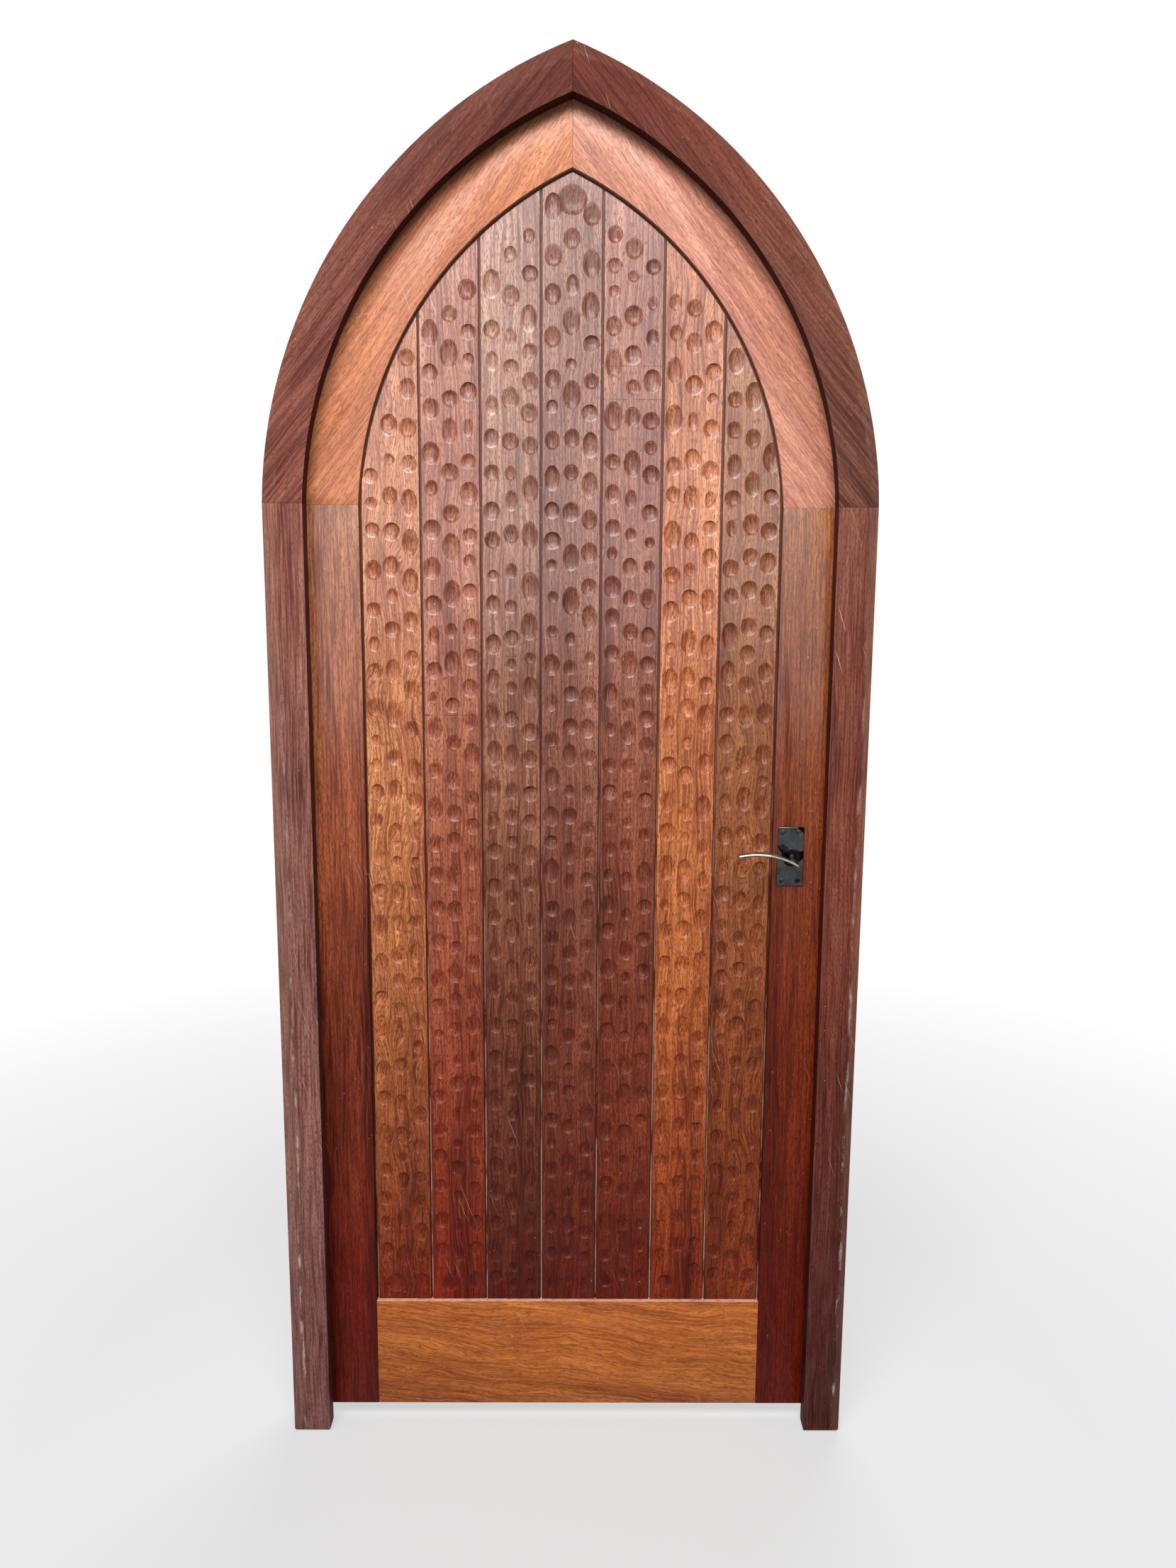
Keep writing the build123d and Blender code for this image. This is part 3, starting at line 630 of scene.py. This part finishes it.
metals = {
    "brass": {"light": "b9a27c", "dark": "8a744e", "rough": (0.28, 0.45)},
    "pinSteel": {"light": "b4b0a8", "dark": "84807a", "rough": (0.25, 0.4)},
    "screwSteel": {"light": "8c8a88", "dark": "55524f", "rough": (0.25, 0.4)},
    "blackNickel": {"light": "47494b", "dark": "0a0a0c", "rough": (0.06, 0.1), "reflectionBlocks": 42},
    # painted reflection: a near-black copy of the nickel for the collar and neck, for the dark surroundings
    # they mirror
    "darkReflectionNickel": {"light": "1c1c1e", "dark": "0a0a0c", "rough": (0.06, 0.1)},
    # painted reflection: a lighter copy of the same nickel for the grip, for the bright sky its curve mirrors
    "skyReflectionNickel": {"light": "a09a8e", "dark": "6a665e", "rough": (0.3, 0.4)},
    "blackScrew": {"light": "3c3c3c", "dark": "101012", "rough": (0.2, 0.3)},
    "latchSteel": {"light": "b8b4ac", "dark": "8a867e", "rough": (0.3, 0.45)},
}


def metalMaterial(name):
    metal = metals[name]
    material, sheet, shader, place = newMaterial(name)
    coords = place.outputs["Object"]
    smear = sheet.span(sheet.noise(sheet.scaled(coords, (60, 60, 60)), detail=3), 0.35, 0.65)
    if "reflectionBlocks" in metal:
        # a mirror-bright plating with painted reflection: hard-edged lighter and darker patches in its colour
        # stand for the surroundings it mirrors
        patch = sheet.add("ShaderNodeTexVoronoi")
        bent = sheet.vector(*[sheet.plus(part, sheet.times(smear, 0.004)) for part in sheet.parts(coords)])
        sheet.feed(patch.inputs["Vector"], bent)
        patch.inputs["Scale"].default_value = metal["reflectionBlocks"]
        tone = sheet.parts(patch.outputs["Color"])[0]
        smear = sheet.times(sheet.span(tone, 0.4, 0.46), sheet.span(smear, 0, 1, 0.6, 1))
    sheet.feed(shader.inputs["Base Color"], sheet.mix(smear, ink(metal["dark"]), ink(metal["light"])))
    sheet.feed(shader.inputs["Roughness"], sheet.span(smear, 0, 1, *metal["rough"]))
    shader.inputs["Metallic"].default_value = 1
    return material


materials = {
    "jamb_left": woodMaterial("jambLeft", 0.6, band=True),
    "jamb_right": woodMaterial("jambRight", 0.6, band=True),
    "frame_head_left": woodMaterial("frameHeadLeft", 0.5, band=True),
    "frame_head_right": woodMaterial("frameHeadRight", 0.5, band=True),
    "stile_left": woodMaterial("stileLeft", 0.2),
    "stile_right": woodMaterial("stileRight", 0.2),
    "leaf_head_left": woodMaterial("leafHeadLeft", 0.2),
    "leaf_head_right": woodMaterial("leafHeadRight", 0.2),
    "bottom_rail": woodMaterial("rail", 0.5, topDustAndSheen=True),
    "tenon": woodMaterial("tenon", 0.2),
}
endJoints = {1: (1.011,), 2: (1.213,), 3: (1.305,), 5: (1.738, 1.690)}
for index in range(1, boards["count"] + 1):
    ends = endJoints.get(index, ())
    materials[f"board_{index}"] = woodMaterial(f"board{index}", 0.35, scooped=True, joints=ends)
metal = {name: metalMaterial(name) for name in metals}
print("materials made:", len(bpy.data.materials))

# Frame and leaf members: the CAD solids with their arrises eased
members = {
    "jamb_left": ("frame", "frame_wood"),
    "jamb_right": ("frame", "frame_wood"),
    "frame_head_left": ("frame", "frame_wood"),
    "frame_head_right": ("frame", "frame_wood"),
    "stile_left": ("leaf", "stile_wood"),
    "stile_right": ("leaf", "stile_wood"),
    "leaf_head_left": ("leaf", "head_wood"),
    "leaf_head_right": ("leaf", "head_wood"),
    "bottom_rail": ("leaf", "rail_wood"),
}
easing = {"width": 0.0009, "segments": 2, "sharp": 40}
foot = {"round": 0.006, "segments": 3}
nailHole = {"share": 0.42, "z": 0.04, "radius": 0.0019, "depth": 0.004}


def easedCopy(node, body, slot):
    piece = copied(frame["nodes"][node], node + "_eased")
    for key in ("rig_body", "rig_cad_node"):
        del piece[key]
    piece.parent = None
    edit(piece)
    bpy.ops.mesh.select_all(action="SELECT")
    bpy.ops.mesh.remove_doubles(threshold=0.00001)
    bpy.ops.mesh.customdata_custom_splitnormals_clear()
    bpy.ops.mesh.dissolve_limited(angle_limit=radians(0.05))
    leaveEdit()
    if node.startswith("jamb"):
        bevelEdges(piece, lambda a, b: a.z < 1e-5 and b.z < 1e-5, foot["round"], foot["segments"])
    if node == "jamb_left":
        low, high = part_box(node)
        middle = (low.x + nailHole["share"] * (high.x - low.x), low.y, nailHole["z"])
        selectNone()
        bpy.ops.mesh.primitive_cylinder_add(
            vertices=16,
            radius=nailHole["radius"],
            depth=2 * nailHole["depth"],
            location=middle,
            rotation=(pi / 2, 0, 0),
        )
        hole = settle(added("hole"))
        applied(piece, "BOOLEAN", object=hole, operation="DIFFERENCE", solver="EXACT")
        bpy.data.objects.remove(hole)
    applied(
        piece,
        "BEVEL",
        width=easing["width"],
        segments=easing["segments"],
        limit_method="ANGLE",
        angle_limit=radians(easing["sharp"]),
    )
    smoothed(piece)
    return finished(piece, body, slot, materials[node], node)


for node, (body, slot) in members.items():
    easedCopy(node, body, slot)
print("members eased")

# Boards: a scooped lip in front, the tongue layer and the plain back, each closed by the panel's arch


def archTop(x, radius):
    return panel["arcHeight"] + sqrt(radius**2 - (abs(x) + panel["offset"]) ** 2)


def cutToArch(item, low, high, radius):
    # a flat cut at each of a few places along the arch leaves the board's rounded top
    for side in (-1, 1):
        inner, outer = sorted((max(side * low, 0), max(side * high, 0)))
        if outer <= 0:
            continue
        for step in range(boards["archSteps"] + 1):
            x = inner + (outer - inner) * step / boards["archSteps"]
            turn = acos(min(1, (x + panel["offset"]) / radius))
            normal = (side * cos(turn), 0, sin(turn))
            point = (side * x, 0, archTop(x, radius))
            edit(item)
            bpy.ops.mesh.select_all(action="SELECT")
            # neighbouring cuts differ by a few microns, which the usual threshold would snap together
            bpy.ops.mesh.bisect(
                plane_co=point,
                plane_no=normal,
                use_fill=True,
                clear_outer=True,
                threshold=boards["cutThreshold"],
            )
            leaveEdit()


def layer(name, index, growth, depths, leftShift, rightShift, bottom):
    radius = panel["radius"] + growth
    side = sqrt(radius**2 - 0.025**2) - panel["offset"]
    left = -panelHalf + boards["gap"] / 2 + index * boardPitch
    low = -side if index == 0 else left + leftShift
    high = side if index == boards["count"] - 1 else left + boardPitch + rightShift
    slab = cube(name, (low, depths[0], bottom), (high, depths[1], apexOf(radius) + 0.01))
    cutToArch(slab, low, high, radius)
    return slab


def apexOf(radius):
    return archTop(0, radius)


def scoopBit():
    # the gouge's bite: a shallow cap one unit across, its rim on the board's face and its bowl along +Y
    rim = radians(scoops["rimAngle"])
    ball = 1 / sin(rim)
    selectNone()
    bpy.ops.mesh.primitive_uv_sphere_add(
        segments=scoops["segments"], ring_count=scoops["rings"], radius=ball, rotation=(pi / 2, 0, 0)
    )
    bit = settle(added("scoopBit"))
    edit(bit)
    bpy.ops.mesh.select_all(action="SELECT")
    bpy.ops.mesh.bisect(
        plane_co=(0, ball * cos(rim), 0), plane_no=(0, 1, 0), use_fill=True, clear_inner=True
    )
    bpy.ops.mesh.select_all(action="SELECT")
    bpy.ops.transform.translate(value=(0, -ball * cos(rim), 0))
    leaveEdit()
    selectFaces(bit, lambda face: face.normal.y < -0.99)
    edit(bit)
    bpy.ops.mesh.extrude_region_move(TRANSFORM_OT_translate={"value": (0, -0.1, 0)})
    leaveEdit()
    bit.data.transform(Matrix.Diagonal((0.5, 1 / (ball - ball * cos(rim)), 0.5, 1)))
    return bit


def scoopPlaces(index, centreX):
    # millimetres, the same seeded walk up each column as in the CAD source
    dice = Random(scoops["seed"] + index)
    for column in range(scoops["columns"]):
        x = centreX + (column - (scoops["columns"] - 1) / 2) * scoops["spacing"]
        top = 1000 * archTop(x / 1000, panel["radius"]) - scoops["margin"]
        z = 1000 * railTop + dice.uniform(*scoops["rest"])
        while True:
            width = dice.uniform(*scoops["widths"])
            if dice.random() < scoops["smallShare"]:
                width *= scoops["smallScale"]
            height = width * dice.choice(scoops["stretch"])
            if z + height > top:
                break
            yield x + dice.uniform(-1, 1), z + height / 2, width, height
            z += height + dice.uniform(*scoops["rest"])


def scoopCutters(bit, index, centreX):
    dice = Random(index)
    cutters = []
    places = [[value / 1000 for value in place] for place in scoopPlaces(index, 1000 * centreX)]
    if index == boards["count"] // 2:
        size = scoops["apexWidth"]
        places.append([centreX, apexOf(panel["radius"]) - scoops["apexDrop"], size, size])
    if index in scoops["large"]:
        x, z, size = scoops["large"][index]
        x += centreX
        z += railTop
        # the small scoops make way for the large one
        reach = scoops["largeReach"]
        clear = lambda place: abs(place[0] - x) > reach or place[1] - z > (place[3] + size) / 2
        places = [place for place in places if clear(place)]
        places.append([x, z, size, size])
    for x, z, width, height in places:
        depth = scoops["depth"] * min(1.25, width * 1000 / scoops["usualWidth"]) * dice.uniform(0.75, 1.1)
        depth = min(depth, scoops["deepest"])
        cutter = copied(bit, "cutter")
        lean = Matrix.Identity(4)
        # the bowl is deepest above or below its middle
        lean[2][1] = dice.uniform(-scoops["lean"], scoops["lean"])
        cutter.data.transform(
            Matrix.Translation((x, boards["front"], z)) @ lean @ Matrix.Diagonal((width, depth, height, 1))
        )
        cutters.append(cutter)
    return joined(cutters, "cutters")


def crispRims(item, y):
    # the rim of each scoop and the board's own edges stay sharp, the bowls are smooth
    onFace = lambda face: abs(face.center.y - y) < 1e-5 and abs(face.normal.y) > 0.999
    flat = {face.index for face in item.data.polygons if onFace(face)}
    beside = {}
    for face in item.data.polygons:
        for key in face.edge_keys:
            beside.setdefault(key, []).append(face.index in flat)
    for edge in item.data.edges:
        sides = beside.get(tuple(sorted(edge.vertices)), [])
        edge.use_edge_sharp = len(set(sides)) > 1


def makeBoard(bit, index):
    front = boards["front"]
    tongueFront = front + boards["lip"]
    tongueBack = tongueFront + boards["tongueThickness"]
    back = front + boards["thickness"]
    gap = boards["gap"]
    centreX = -panelHalf + gap / 2 + (index + 0.5) * boardPitch
    lip = layer("lip", index, -gap, (front, tongueFront), gap / 2, -gap / 2, railTop)
    onFront = lambda a, b: a.y < front + 1e-5 and b.y < front + 1e-5
    bevelEdges(lip, onFront, boards["arris"])
    cutters = scoopCutters(bit, index, centreX)
    applied(lip, "BOOLEAN", object=cutters, operation="DIFFERENCE", solver="EXACT", use_self=True)
    bpy.data.objects.remove(cutters)
    crispRims(lip, front)
    tongue = layer(
        "tongue", index, boards["tongue"], (tongueFront, tongueBack), boards["groove"], boards["tongue"],
        railTop - boards["tongue"],
    )
    rear = layer("rear", index, -boards["play"], (tongueBack, back), 0, 0, railTop)
    onBack = lambda a, b: a.y > back - 1e-5 and b.y > back - 1e-5
    bevelEdges(rear, onBack, boards["arris"])
    plank = joined([lip, tongue, rear], f"board_{index + 1}_scooped")
    smoothed(plank, 30)
    return finished(plank, "leaf", "board_wood", materials[f"board_{index + 1}"], f"board_{index + 1}")


bit = scoopBit()
for index in range(boards["count"]):
    plank = makeBoard(bit, index)
    print("board", index + 1, "faces", len(plank.data.polygons))
bpy.data.objects.remove(bit)

# Lever furniture: a backplate with a round collar, cross-headed screws and a bowed grip on a neck
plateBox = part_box("plate_outside")
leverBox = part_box("lever_outside")
lever = {
    "x": (plateBox[0].x + plateBox[1].x) / 2,
    "z": (plateBox[0].z + plateBox[1].z) / 2,
    "face": plateBox[1].y,
    "plateThickness": 0.003,
    "plateCorner": 0.0015,
    "plateArris": 0.0009,
    "collarRadius": 0.014,
    "collarRim": 0.0014,
    "screwInset": (0.009, 0.0083),
    "neckRadius": 0.0075,
    "neckFoot": 0.0155,
    "neckEnd": (0.012, 0.0056),
    "neckSteps": 6,
    "gripY": leverBox[0].y + 0.0065,
    "gripSection": (0.0065, 0.0034),
    "gripRadius": 0.124,
    "gripCrest": (-0.059, 0.0124),
    "gripEnds": (0.006, -0.088),
    "gripSteps": 24,
    "rootShare": 0.6,
    "slimPart": 0.5,
    "endRound": 0.0017,
}
screw = {
    "head": 0.004,
    "shank": 0.002,
    "sink": 0.002,
    "length": 0.017,
    "dome": 0.0003,
    "slot": (0.0046, 0.0009, 0.0011),
    "longLength": 0.026,
    "hingeSpacing": 0.035,
    "flapGap": 0.00015,
    "flapInset": 0.015,
}


def makeScrew(name, length):
    # a countersunk screw along -Z with its head's face at the origin, crossed by two slots
    selectNone()
    bpy.ops.mesh.primitive_cone_add(
        vertices=24,
        radius1=screw["shank"],
        radius2=screw["head"],
        depth=screw["sink"],
        location=(0, 0, -screw["sink"] / 2),
    )
    item = settle(added(name))
    selectFaces(item, lambda face: face.normal.z < -0.9)
    edit(item)
    bpy.ops.mesh.extrude_region_move(TRANSFORM_OT_translate={"value": (0, 0, screw["sink"] - length)})
    leaveEdit()
    selectFaces(item, lambda face: face.normal.z > 0.9)
    edit(item)
    bpy.ops.mesh.inset(thickness=0.0006)
    bpy.ops.transform.translate(value=(0, 0, screw["dome"]))
    leaveEdit()
    long, wide, deep = screw["slot"]
    slots = [
        cube("slot", (-long / 2, -wide / 2, -deep), (long / 2, wide / 2, 0.002)),
        cube("slot", (-wide / 2, -long / 2, -deep), (wide / 2, long / 2, 0.002)),
    ]
    for slot in slots:
        applied(item, "BOOLEAN", object=slot, operation="DIFFERENCE", solver="EXACT")
        bpy.data.objects.remove(slot)
    return smoothed(item)


def screwsAt(model, name, places):
    # each place is a point on the work's face and the direction out of it
    group = []
    for number, (point, outward) in enumerate(places):
        one = copied(model, "screw")
        turn = Vector(outward).to_track_quat("Z", "X").to_matrix().to_4x4()
        spin = Matrix.Rotation(radians(17 + 40 * number), 4, "Z")
        one.data.transform(Matrix.Translation(point) @ turn @ spin)
        group.append(one)
    return joined(group, name)


def plateScrewPlaces():
    insetX, insetZ = lever["screwInset"]
    for x in (plateBox[0].x + insetX, plateBox[1].x - insetX):
        for z in (plateBox[0].z + insetZ, plateBox[1].z - insetZ):
            yield x, z


def makePlate():
    front = lever["face"] - lever["plateThickness"]
    low = (plateBox[0].x, front, plateBox[0].z)
    high = (plateBox[1].x, lever["face"], plateBox[1].z)
    plate = cube("plate", low, high)
    bevelEdges(plate, lambda a, b: abs(a.y - b.y) > 0.001, lever["plateCorner"], 3)
    bevelEdges(plate, lambda a, b: a.y < front + 1e-5 and b.y < front + 1e-5, lever["plateArris"], 3)
    for x, z in plateScrewPlaces():
        selectNone()
        bpy.ops.mesh.primitive_cone_add(
            vertices=32, radius1=0.0002, radius2=screw["head"] + 0.0006, depth=0.0032,
            location=(x, front + 0.0015, z), rotation=(pi / 2, 0, 0),
        )
        sink = settle(added("sink"))
        applied(plate, "BOOLEAN", object=sink, operation="DIFFERENCE", solver="EXACT")
        bpy.data.objects.remove(sink)
    selectNone()
    bpy.ops.mesh.primitive_cylinder_add(
        vertices=64, radius=lever["collarRadius"], depth=plateBox[0].y * -1 + front,
        location=(lever["x"], (front + plateBox[0].y) / 2, lever["z"]), rotation=(pi / 2, 0, 0),
    )
    collar = settle(added("collar"))
    rim = plateBox[0].y + 1e-5
    bevelEdges(collar, lambda a, b: a.y < rim and b.y < rim, lever["collarRim"], 3)
    return smoothed(joined([plate], "plate_outside_polished")), smoothed(joined([collar], "collar_outside"))


def makeNeck():
    # a round foot in the collar that flattens as it reaches the grip
    start = lever["face"] - 0.0005
    selectNone()
    bpy.ops.mesh.primitive_cylinder_add(
        vertices=32, radius=lever["neckRadius"], depth=lever["neckFoot"],
        location=(lever["x"], start - lever["neckFoot"] / 2, lever["z"]), rotation=(pi / 2, 0, 0),
    )
    neck = settle(added("neck"))
    y = start - lever["neckFoot"]
    endX, endZ = [size / 2 / lever["neckRadius"] for size in lever["neckEnd"]]
    drop = gripHeight(0)
    scaleX = scaleZ = 1
    centreZ = lever["z"]
    for step in range(1, lever["neckSteps"] + 1):
        share = step / lever["neckSteps"]
        ease = share * share * (3 - 2 * share)
        nextY = y + (lever["gripY"] - y) * share
        limit = y + (lever["gripY"] - y) * (step - 1) / lever["neckSteps"] + 1e-5
        selectFaces(neck, lambda face: face.normal.y < -0.99 and face.center.y < limit)
        edit(neck)
        shift = (0, (lever["gripY"] - y) / lever["neckSteps"], lever["z"] + drop * ease - centreZ)
        bpy.ops.mesh.extrude_region_move(TRANSFORM_OT_translate={"value": shift})
        centreZ = lever["z"] + drop * ease
        nowX, nowZ = 1 + (endX - 1) * ease, 1 + (endZ - 1) * ease
        bpy.ops.transform.resize(
            value=(nowX / scaleX, 1, nowZ / scaleZ), center_override=(lever["x"], nextY, centreZ)
        )
        scaleX, scaleZ = nowX, nowZ
        leaveEdit()
    return neck


def gripHeight(x):
    crestX, crestZ = lever["gripCrest"]
    return crestZ - lever["gripRadius"] + sqrt(lever["gripRadius"] ** 2 - (x - crestX) ** 2)


def makeGrip():
    # an oval section spun along the grip's arc, slimmed towards the root and rounded at both ends
    crestX, crestZ = lever["gripCrest"]
    radius = lever["gripRadius"]
    axisPoint = Vector((lever["x"] + crestX, lever["gripY"], lever["z"] + crestZ - radius))
    root, tip = [asin((end - crestX) / radius) for end in lever["gripEnds"]]
    selectNone()
    bpy.ops.mesh.primitive_circle_add(vertices=24, radius=1, fill_type="NOTHING")
    grip = settle(added("grip"))
    halfY, halfZ = lever["gripSection"]
    # the circle lies flat: stand it up across X, make it oval, lift it to the arc and turn it to the root
    stand = Matrix(((0, 0, 1, 0), (0, halfY, 0, 0), (halfZ, 0, 0, 0), (0, 0, 0, 1)))
    lift = Matrix.Translation((0, 0, radius))
    grip.data.transform(Matrix.Translation(axisPoint) @ Matrix.Rotation(root, 4, "Y") @ lift @ stand)
    edit(grip)
    bpy.ops.mesh.select_all(action="SELECT")
    bpy.ops.mesh.spin(steps=lever["gripSteps"], angle=root - tip, center=axisPoint, axis=(0, 1, 0))
    bpy.ops.mesh.select_all(action="SELECT")
    bpy.ops.mesh.remove_doubles(threshold=0.00001)
    leaveEdit()
    step = (tip - root) / lever["gripSteps"]
    for ring in range(lever["gripSteps"] + 1):
        turn = root + step * ring
        share = ring / lever["gripSteps"]
        size = lever["rootShare"] + (1 - lever["rootShare"]) * min(1, share / lever["slimPart"]) ** 0.7
        centre = axisPoint + Vector((radius * sin(turn), 0, radius * cos(turn)))
        onRing = lambda v: abs(atan2(v.x - axisPoint.x, v.z - axisPoint.z) - turn) < abs(step) / 3
        selectVertices(grip, onRing)
        edit(grip)
        bpy.ops.transform.resize(value=(size, size, size), center_override=centre)
        if ring in (0, lever["gripSteps"]):
            bpy.ops.mesh.edge_face_add()
        leaveEdit()
    recalculated(grip)
    for turn in (root, tip):
        end = axisPoint + Vector((radius * sin(turn), 0, radius * cos(turn)))
        reach = lever["gripSection"][0] * 1.02
        along = Vector((cos(turn), 0, -sin(turn)))
        near = lambda v: abs((v - end).dot(along)) < 1e-4 and (v - end).length < reach
        bevelEdges(grip, lambda a, b: near(a) and near(b), lever["endRound"], 4)
    return grip


def mirrored(item, name):
    twin = copied(item, name)
    twin.data.transform(Matrix.Diagonal((1, -1, 1, 1)))
    return smoothed(recalculated(twin))


plateOutside, collarOutside = makePlate()
collarInside = mirrored(collarOutside, "collar_inside")
plateInside = mirrored(plateOutside, "plate_inside_polished")
leverOutside = smoothed(joined([makeGrip()], "lever_outside_polished"), 50)
leverInside = mirrored(leverOutside, "lever_inside_polished")
neckOutside = smoothed(joined([makeNeck()], "neck_outside_polished"), 50)
neckInside = mirrored(neckOutside, "neck_inside_polished")
finished(plateOutside, "leaf", "plate_nickel", metal["blackNickel"], "plate_outside")
finished(plateInside, "leaf", "plate_nickel", metal["blackNickel"], "plate_inside")
finished(collarOutside, "leaf", "plate_nickel", metal["darkReflectionNickel"])
finished(collarInside, "leaf", "plate_nickel", metal["darkReflectionNickel"])
finished(leverOutside, "lever", "lever_nickel", metal["skyReflectionNickel"], "lever_outside")
finished(leverInside, "lever", "lever_nickel", metal["skyReflectionNickel"], "lever_inside")
finished(neckOutside, "lever", "lever_nickel", metal["darkReflectionNickel"])
finished(neckInside, "lever", "lever_nickel", metal["darkReflectionNickel"])
print("lever size", [round(1000 * value, 1) for value in leverOutside.dimensions])

plateFront = lever["face"] - lever["plateThickness"]
shortScrew = makeScrew("shortScrew", screw["length"])
longScrew = makeScrew("longScrew", screw["longLength"])
outsidePlaces = [((x, plateFront, z), (0, -1, 0)) for x, z in plateScrewPlaces()]
insidePlaces = [((x, -plateFront, z), (0, 1, 0)) for x, z in plateScrewPlaces()]
pinX = (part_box("hinge_pin_top")[0].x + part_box("hinge_pin_top")[1].x) / 2
framePlaces = []
leafPlaces = []
for name in ("top", "middle", "bottom"):
    low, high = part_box(f"hinge_pin_{name}")
    for step in (-1, 0, 1):
        z = (low.z + high.z) / 2 + step * screw["hingeSpacing"]
        framePlaces.append(((pinX - screw["flapGap"], leafBack - screw["flapInset"], z), (1, 0, 0)))
        leafPlaces.append(((pinX + screw["flapGap"], leafBack - screw["flapInset"], z), (-1, 0, 0)))


def endPlaces(node, inset, outward):
    # the two screws of a long plate let into an edge
    low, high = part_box(node)
    x = low.x if outward < 0 else high.x
    return [((x, (low.y + high.y) / 2, z), (outward, 0, 0)) for z in (low.z + inset, high.z - inset)]


screwGroups = {
    "plate_screws_outside": (shortScrew, outsidePlaces, "leaf", "blackScrew"),
    "plate_screws_inside": (shortScrew, insidePlaces, "leaf", "blackScrew"),
    "hinge_screws_frame": (longScrew, framePlaces, "frame", "screwSteel"),
    "hinge_screws_leaf": (longScrew, leafPlaces, "leaf", "screwSteel"),
    "strike_screws": (longScrew, endPlaces("strike_plate", 0.008, -1), "frame", "screwSteel"),
    "faceplate_screws": (longScrew, endPlaces("latch_faceplate", 0.007, 1), "leaf", "screwSteel"),
}
for node, (model, places, body, finish) in screwGroups.items():
    group = screwsAt(model, node + "_slotted", places)
    finished(group, body, "screw_steel", metal[finish], node)
for model in (shortScrew, longScrew):
    bpy.data.objects.remove(model)
print("lever furniture and screws made")

# The rest of the CAD nodes keep their shapes
finishes = {
    "tenon": materials["tenon"],
    "hinge_screws": metal["screwSteel"],
    "hinge_pin": metal["pinSteel"],
    "hinge": metal["brass"],
    "plate_screws": metal["screwSteel"],
    "plate": metal["blackNickel"],
    "lever": metal["skyReflectionNickel"],
    "strike_screws": metal["screwSteel"],
    "faceplate_screws": metal["screwSteel"],
    "": metal["latchSteel"],
}
for name, node in frame["nodes"].items():
    if node.hide_render or name.startswith("board_"):
        continue
    finish = next(value for key, value in finishes.items() if key in name)
    node.data.materials.clear()
    node.data.materials.append(finish)

# Stage: a pale floor that keeps the shadow near the door and fades to white
stageSettings = {"floorSize": 14, "fadeFrom": 0.9, "fadeTo": 2.6, "shadowShare": 0.5, "worldLight": 0.12}


def seenByEye(sheet):
    # 1 where the stage is looked at, straight or in a reflection, and 0 where it only lights the door
    ray = sheet.add("ShaderNodeLightPath")
    bounced = sheet.calc("MAXIMUM", ray.outputs["Is Glossy Ray"], ray.outputs["Is Transmission Ray"])
    return sheet.calc("MAXIMUM", ray.outputs["Is Camera Ray"], bounced)


def makeFloor():
    selectNone()
    bpy.ops.mesh.primitive_plane_add(size=stageSettings["floorSize"])
    floor = added("floor")
    material, sheet, shader, place = newMaterial("floorPaint")
    shader.inputs["Base Color"].default_value = (0.45, 0.45, 0.45, 1)
    shader.inputs["Roughness"].default_value = 0.8
    shader.inputs["Specular IOR Level"].default_value = 0.1
    glow = sheet.add("ShaderNodeEmission")
    glow.inputs["Color"].default_value = (1, 1, 1, 1)
    seen = seenByEye(sheet)
    distance = sheet.add("ShaderNodeVectorMath", operation="LENGTH")
    sheet.feed(distance.inputs[0], place.outputs["Object"])
    fade = (stageSettings["fadeFrom"], stageSettings["fadeTo"])
    far = sheet.span(distance.outputs["Value"], *fade, 1 - stageSettings["shadowShare"], 1)
    blend = sheet.add("ShaderNodeMixShader")
    sheet.feed(blend.inputs[0], sheet.times(seen, far))
    sheet.feed(blend.inputs[1], shader.outputs[0])
    sheet.feed(blend.inputs[2], glow.outputs[0])
    output = material.node_tree.nodes["Material Output"]
    sheet.feed(output.inputs["Surface"], blend.outputs[0])
    floor.data.materials.append(material)


def makeWorld():
    world = bpy.data.worlds.new("studio")
    scene.world = world
    world.use_nodes = True
    sheet = NodeSheet(world.node_tree)
    light = world.node_tree.nodes["Background"]
    light.inputs["Color"].default_value = (1, 1, 1, 1)
    light.inputs["Strength"].default_value = stageSettings["worldLight"]
    white = sheet.add("ShaderNodeBackground")
    white.inputs["Color"].default_value = (1, 1, 1, 1)
    seen = seenByEye(sheet)
    blend = sheet.add("ShaderNodeMixShader")
    sheet.feed(blend.inputs[0], seen)
    sheet.feed(blend.inputs[1], light.outputs[0])
    sheet.feed(blend.inputs[2], white.outputs[0])
    sheet.feed(world.node_tree.nodes["World Output"].inputs["Surface"], blend.outputs[0])


# the sky panel stands high, so that the scoops shade; the gloss panel is only seen in the varnish
lamps = {
    "skyPanel": {"place": (-0.3, -2.6, 3.7), "aim": (0, 0, 1.1), "size": (2.8, 1.4), "power": 235},
    "glossPanel": {"place": (-0.1, -1.95, 2.15), "aim": (-0.1, 0, 2.15), "size": (2.6, 1.8), "power": 75},
    "leftFill": {"place": (-2.6, -1.9, 2.2), "aim": (0, 0, 1.1), "size": (1.0, 1.6), "power": 8},
    "backPanel": {"place": (0.8, 2.9, 3.0), "aim": (0, 0, 1.3), "size": (3.0, 1.6), "power": 130},
}


def makeLamp(name):
    lamp = lamps[name]
    data = bpy.data.lights.new(name, "AREA")
    data.shape = "RECTANGLE"
    data.size, data.size_y = lamp["size"]
    data.energy = lamp["power"]
    item = bpy.data.objects.new(name, data)
    scene.collection.objects.link(item)
    item.location = lamp["place"]
    item.visible_camera = False
    item.visible_diffuse = name != "glossPanel"
    item.rotation_euler = (Vector(lamp["aim"]) - Vector(lamp["place"])).to_track_quat("-Z", "Y").to_euler()


makeFloor()
makeWorld()
for name in lamps:
    makeLamp(name)
scene.view_settings.view_transform = "Standard"
print("stage and lamps set")
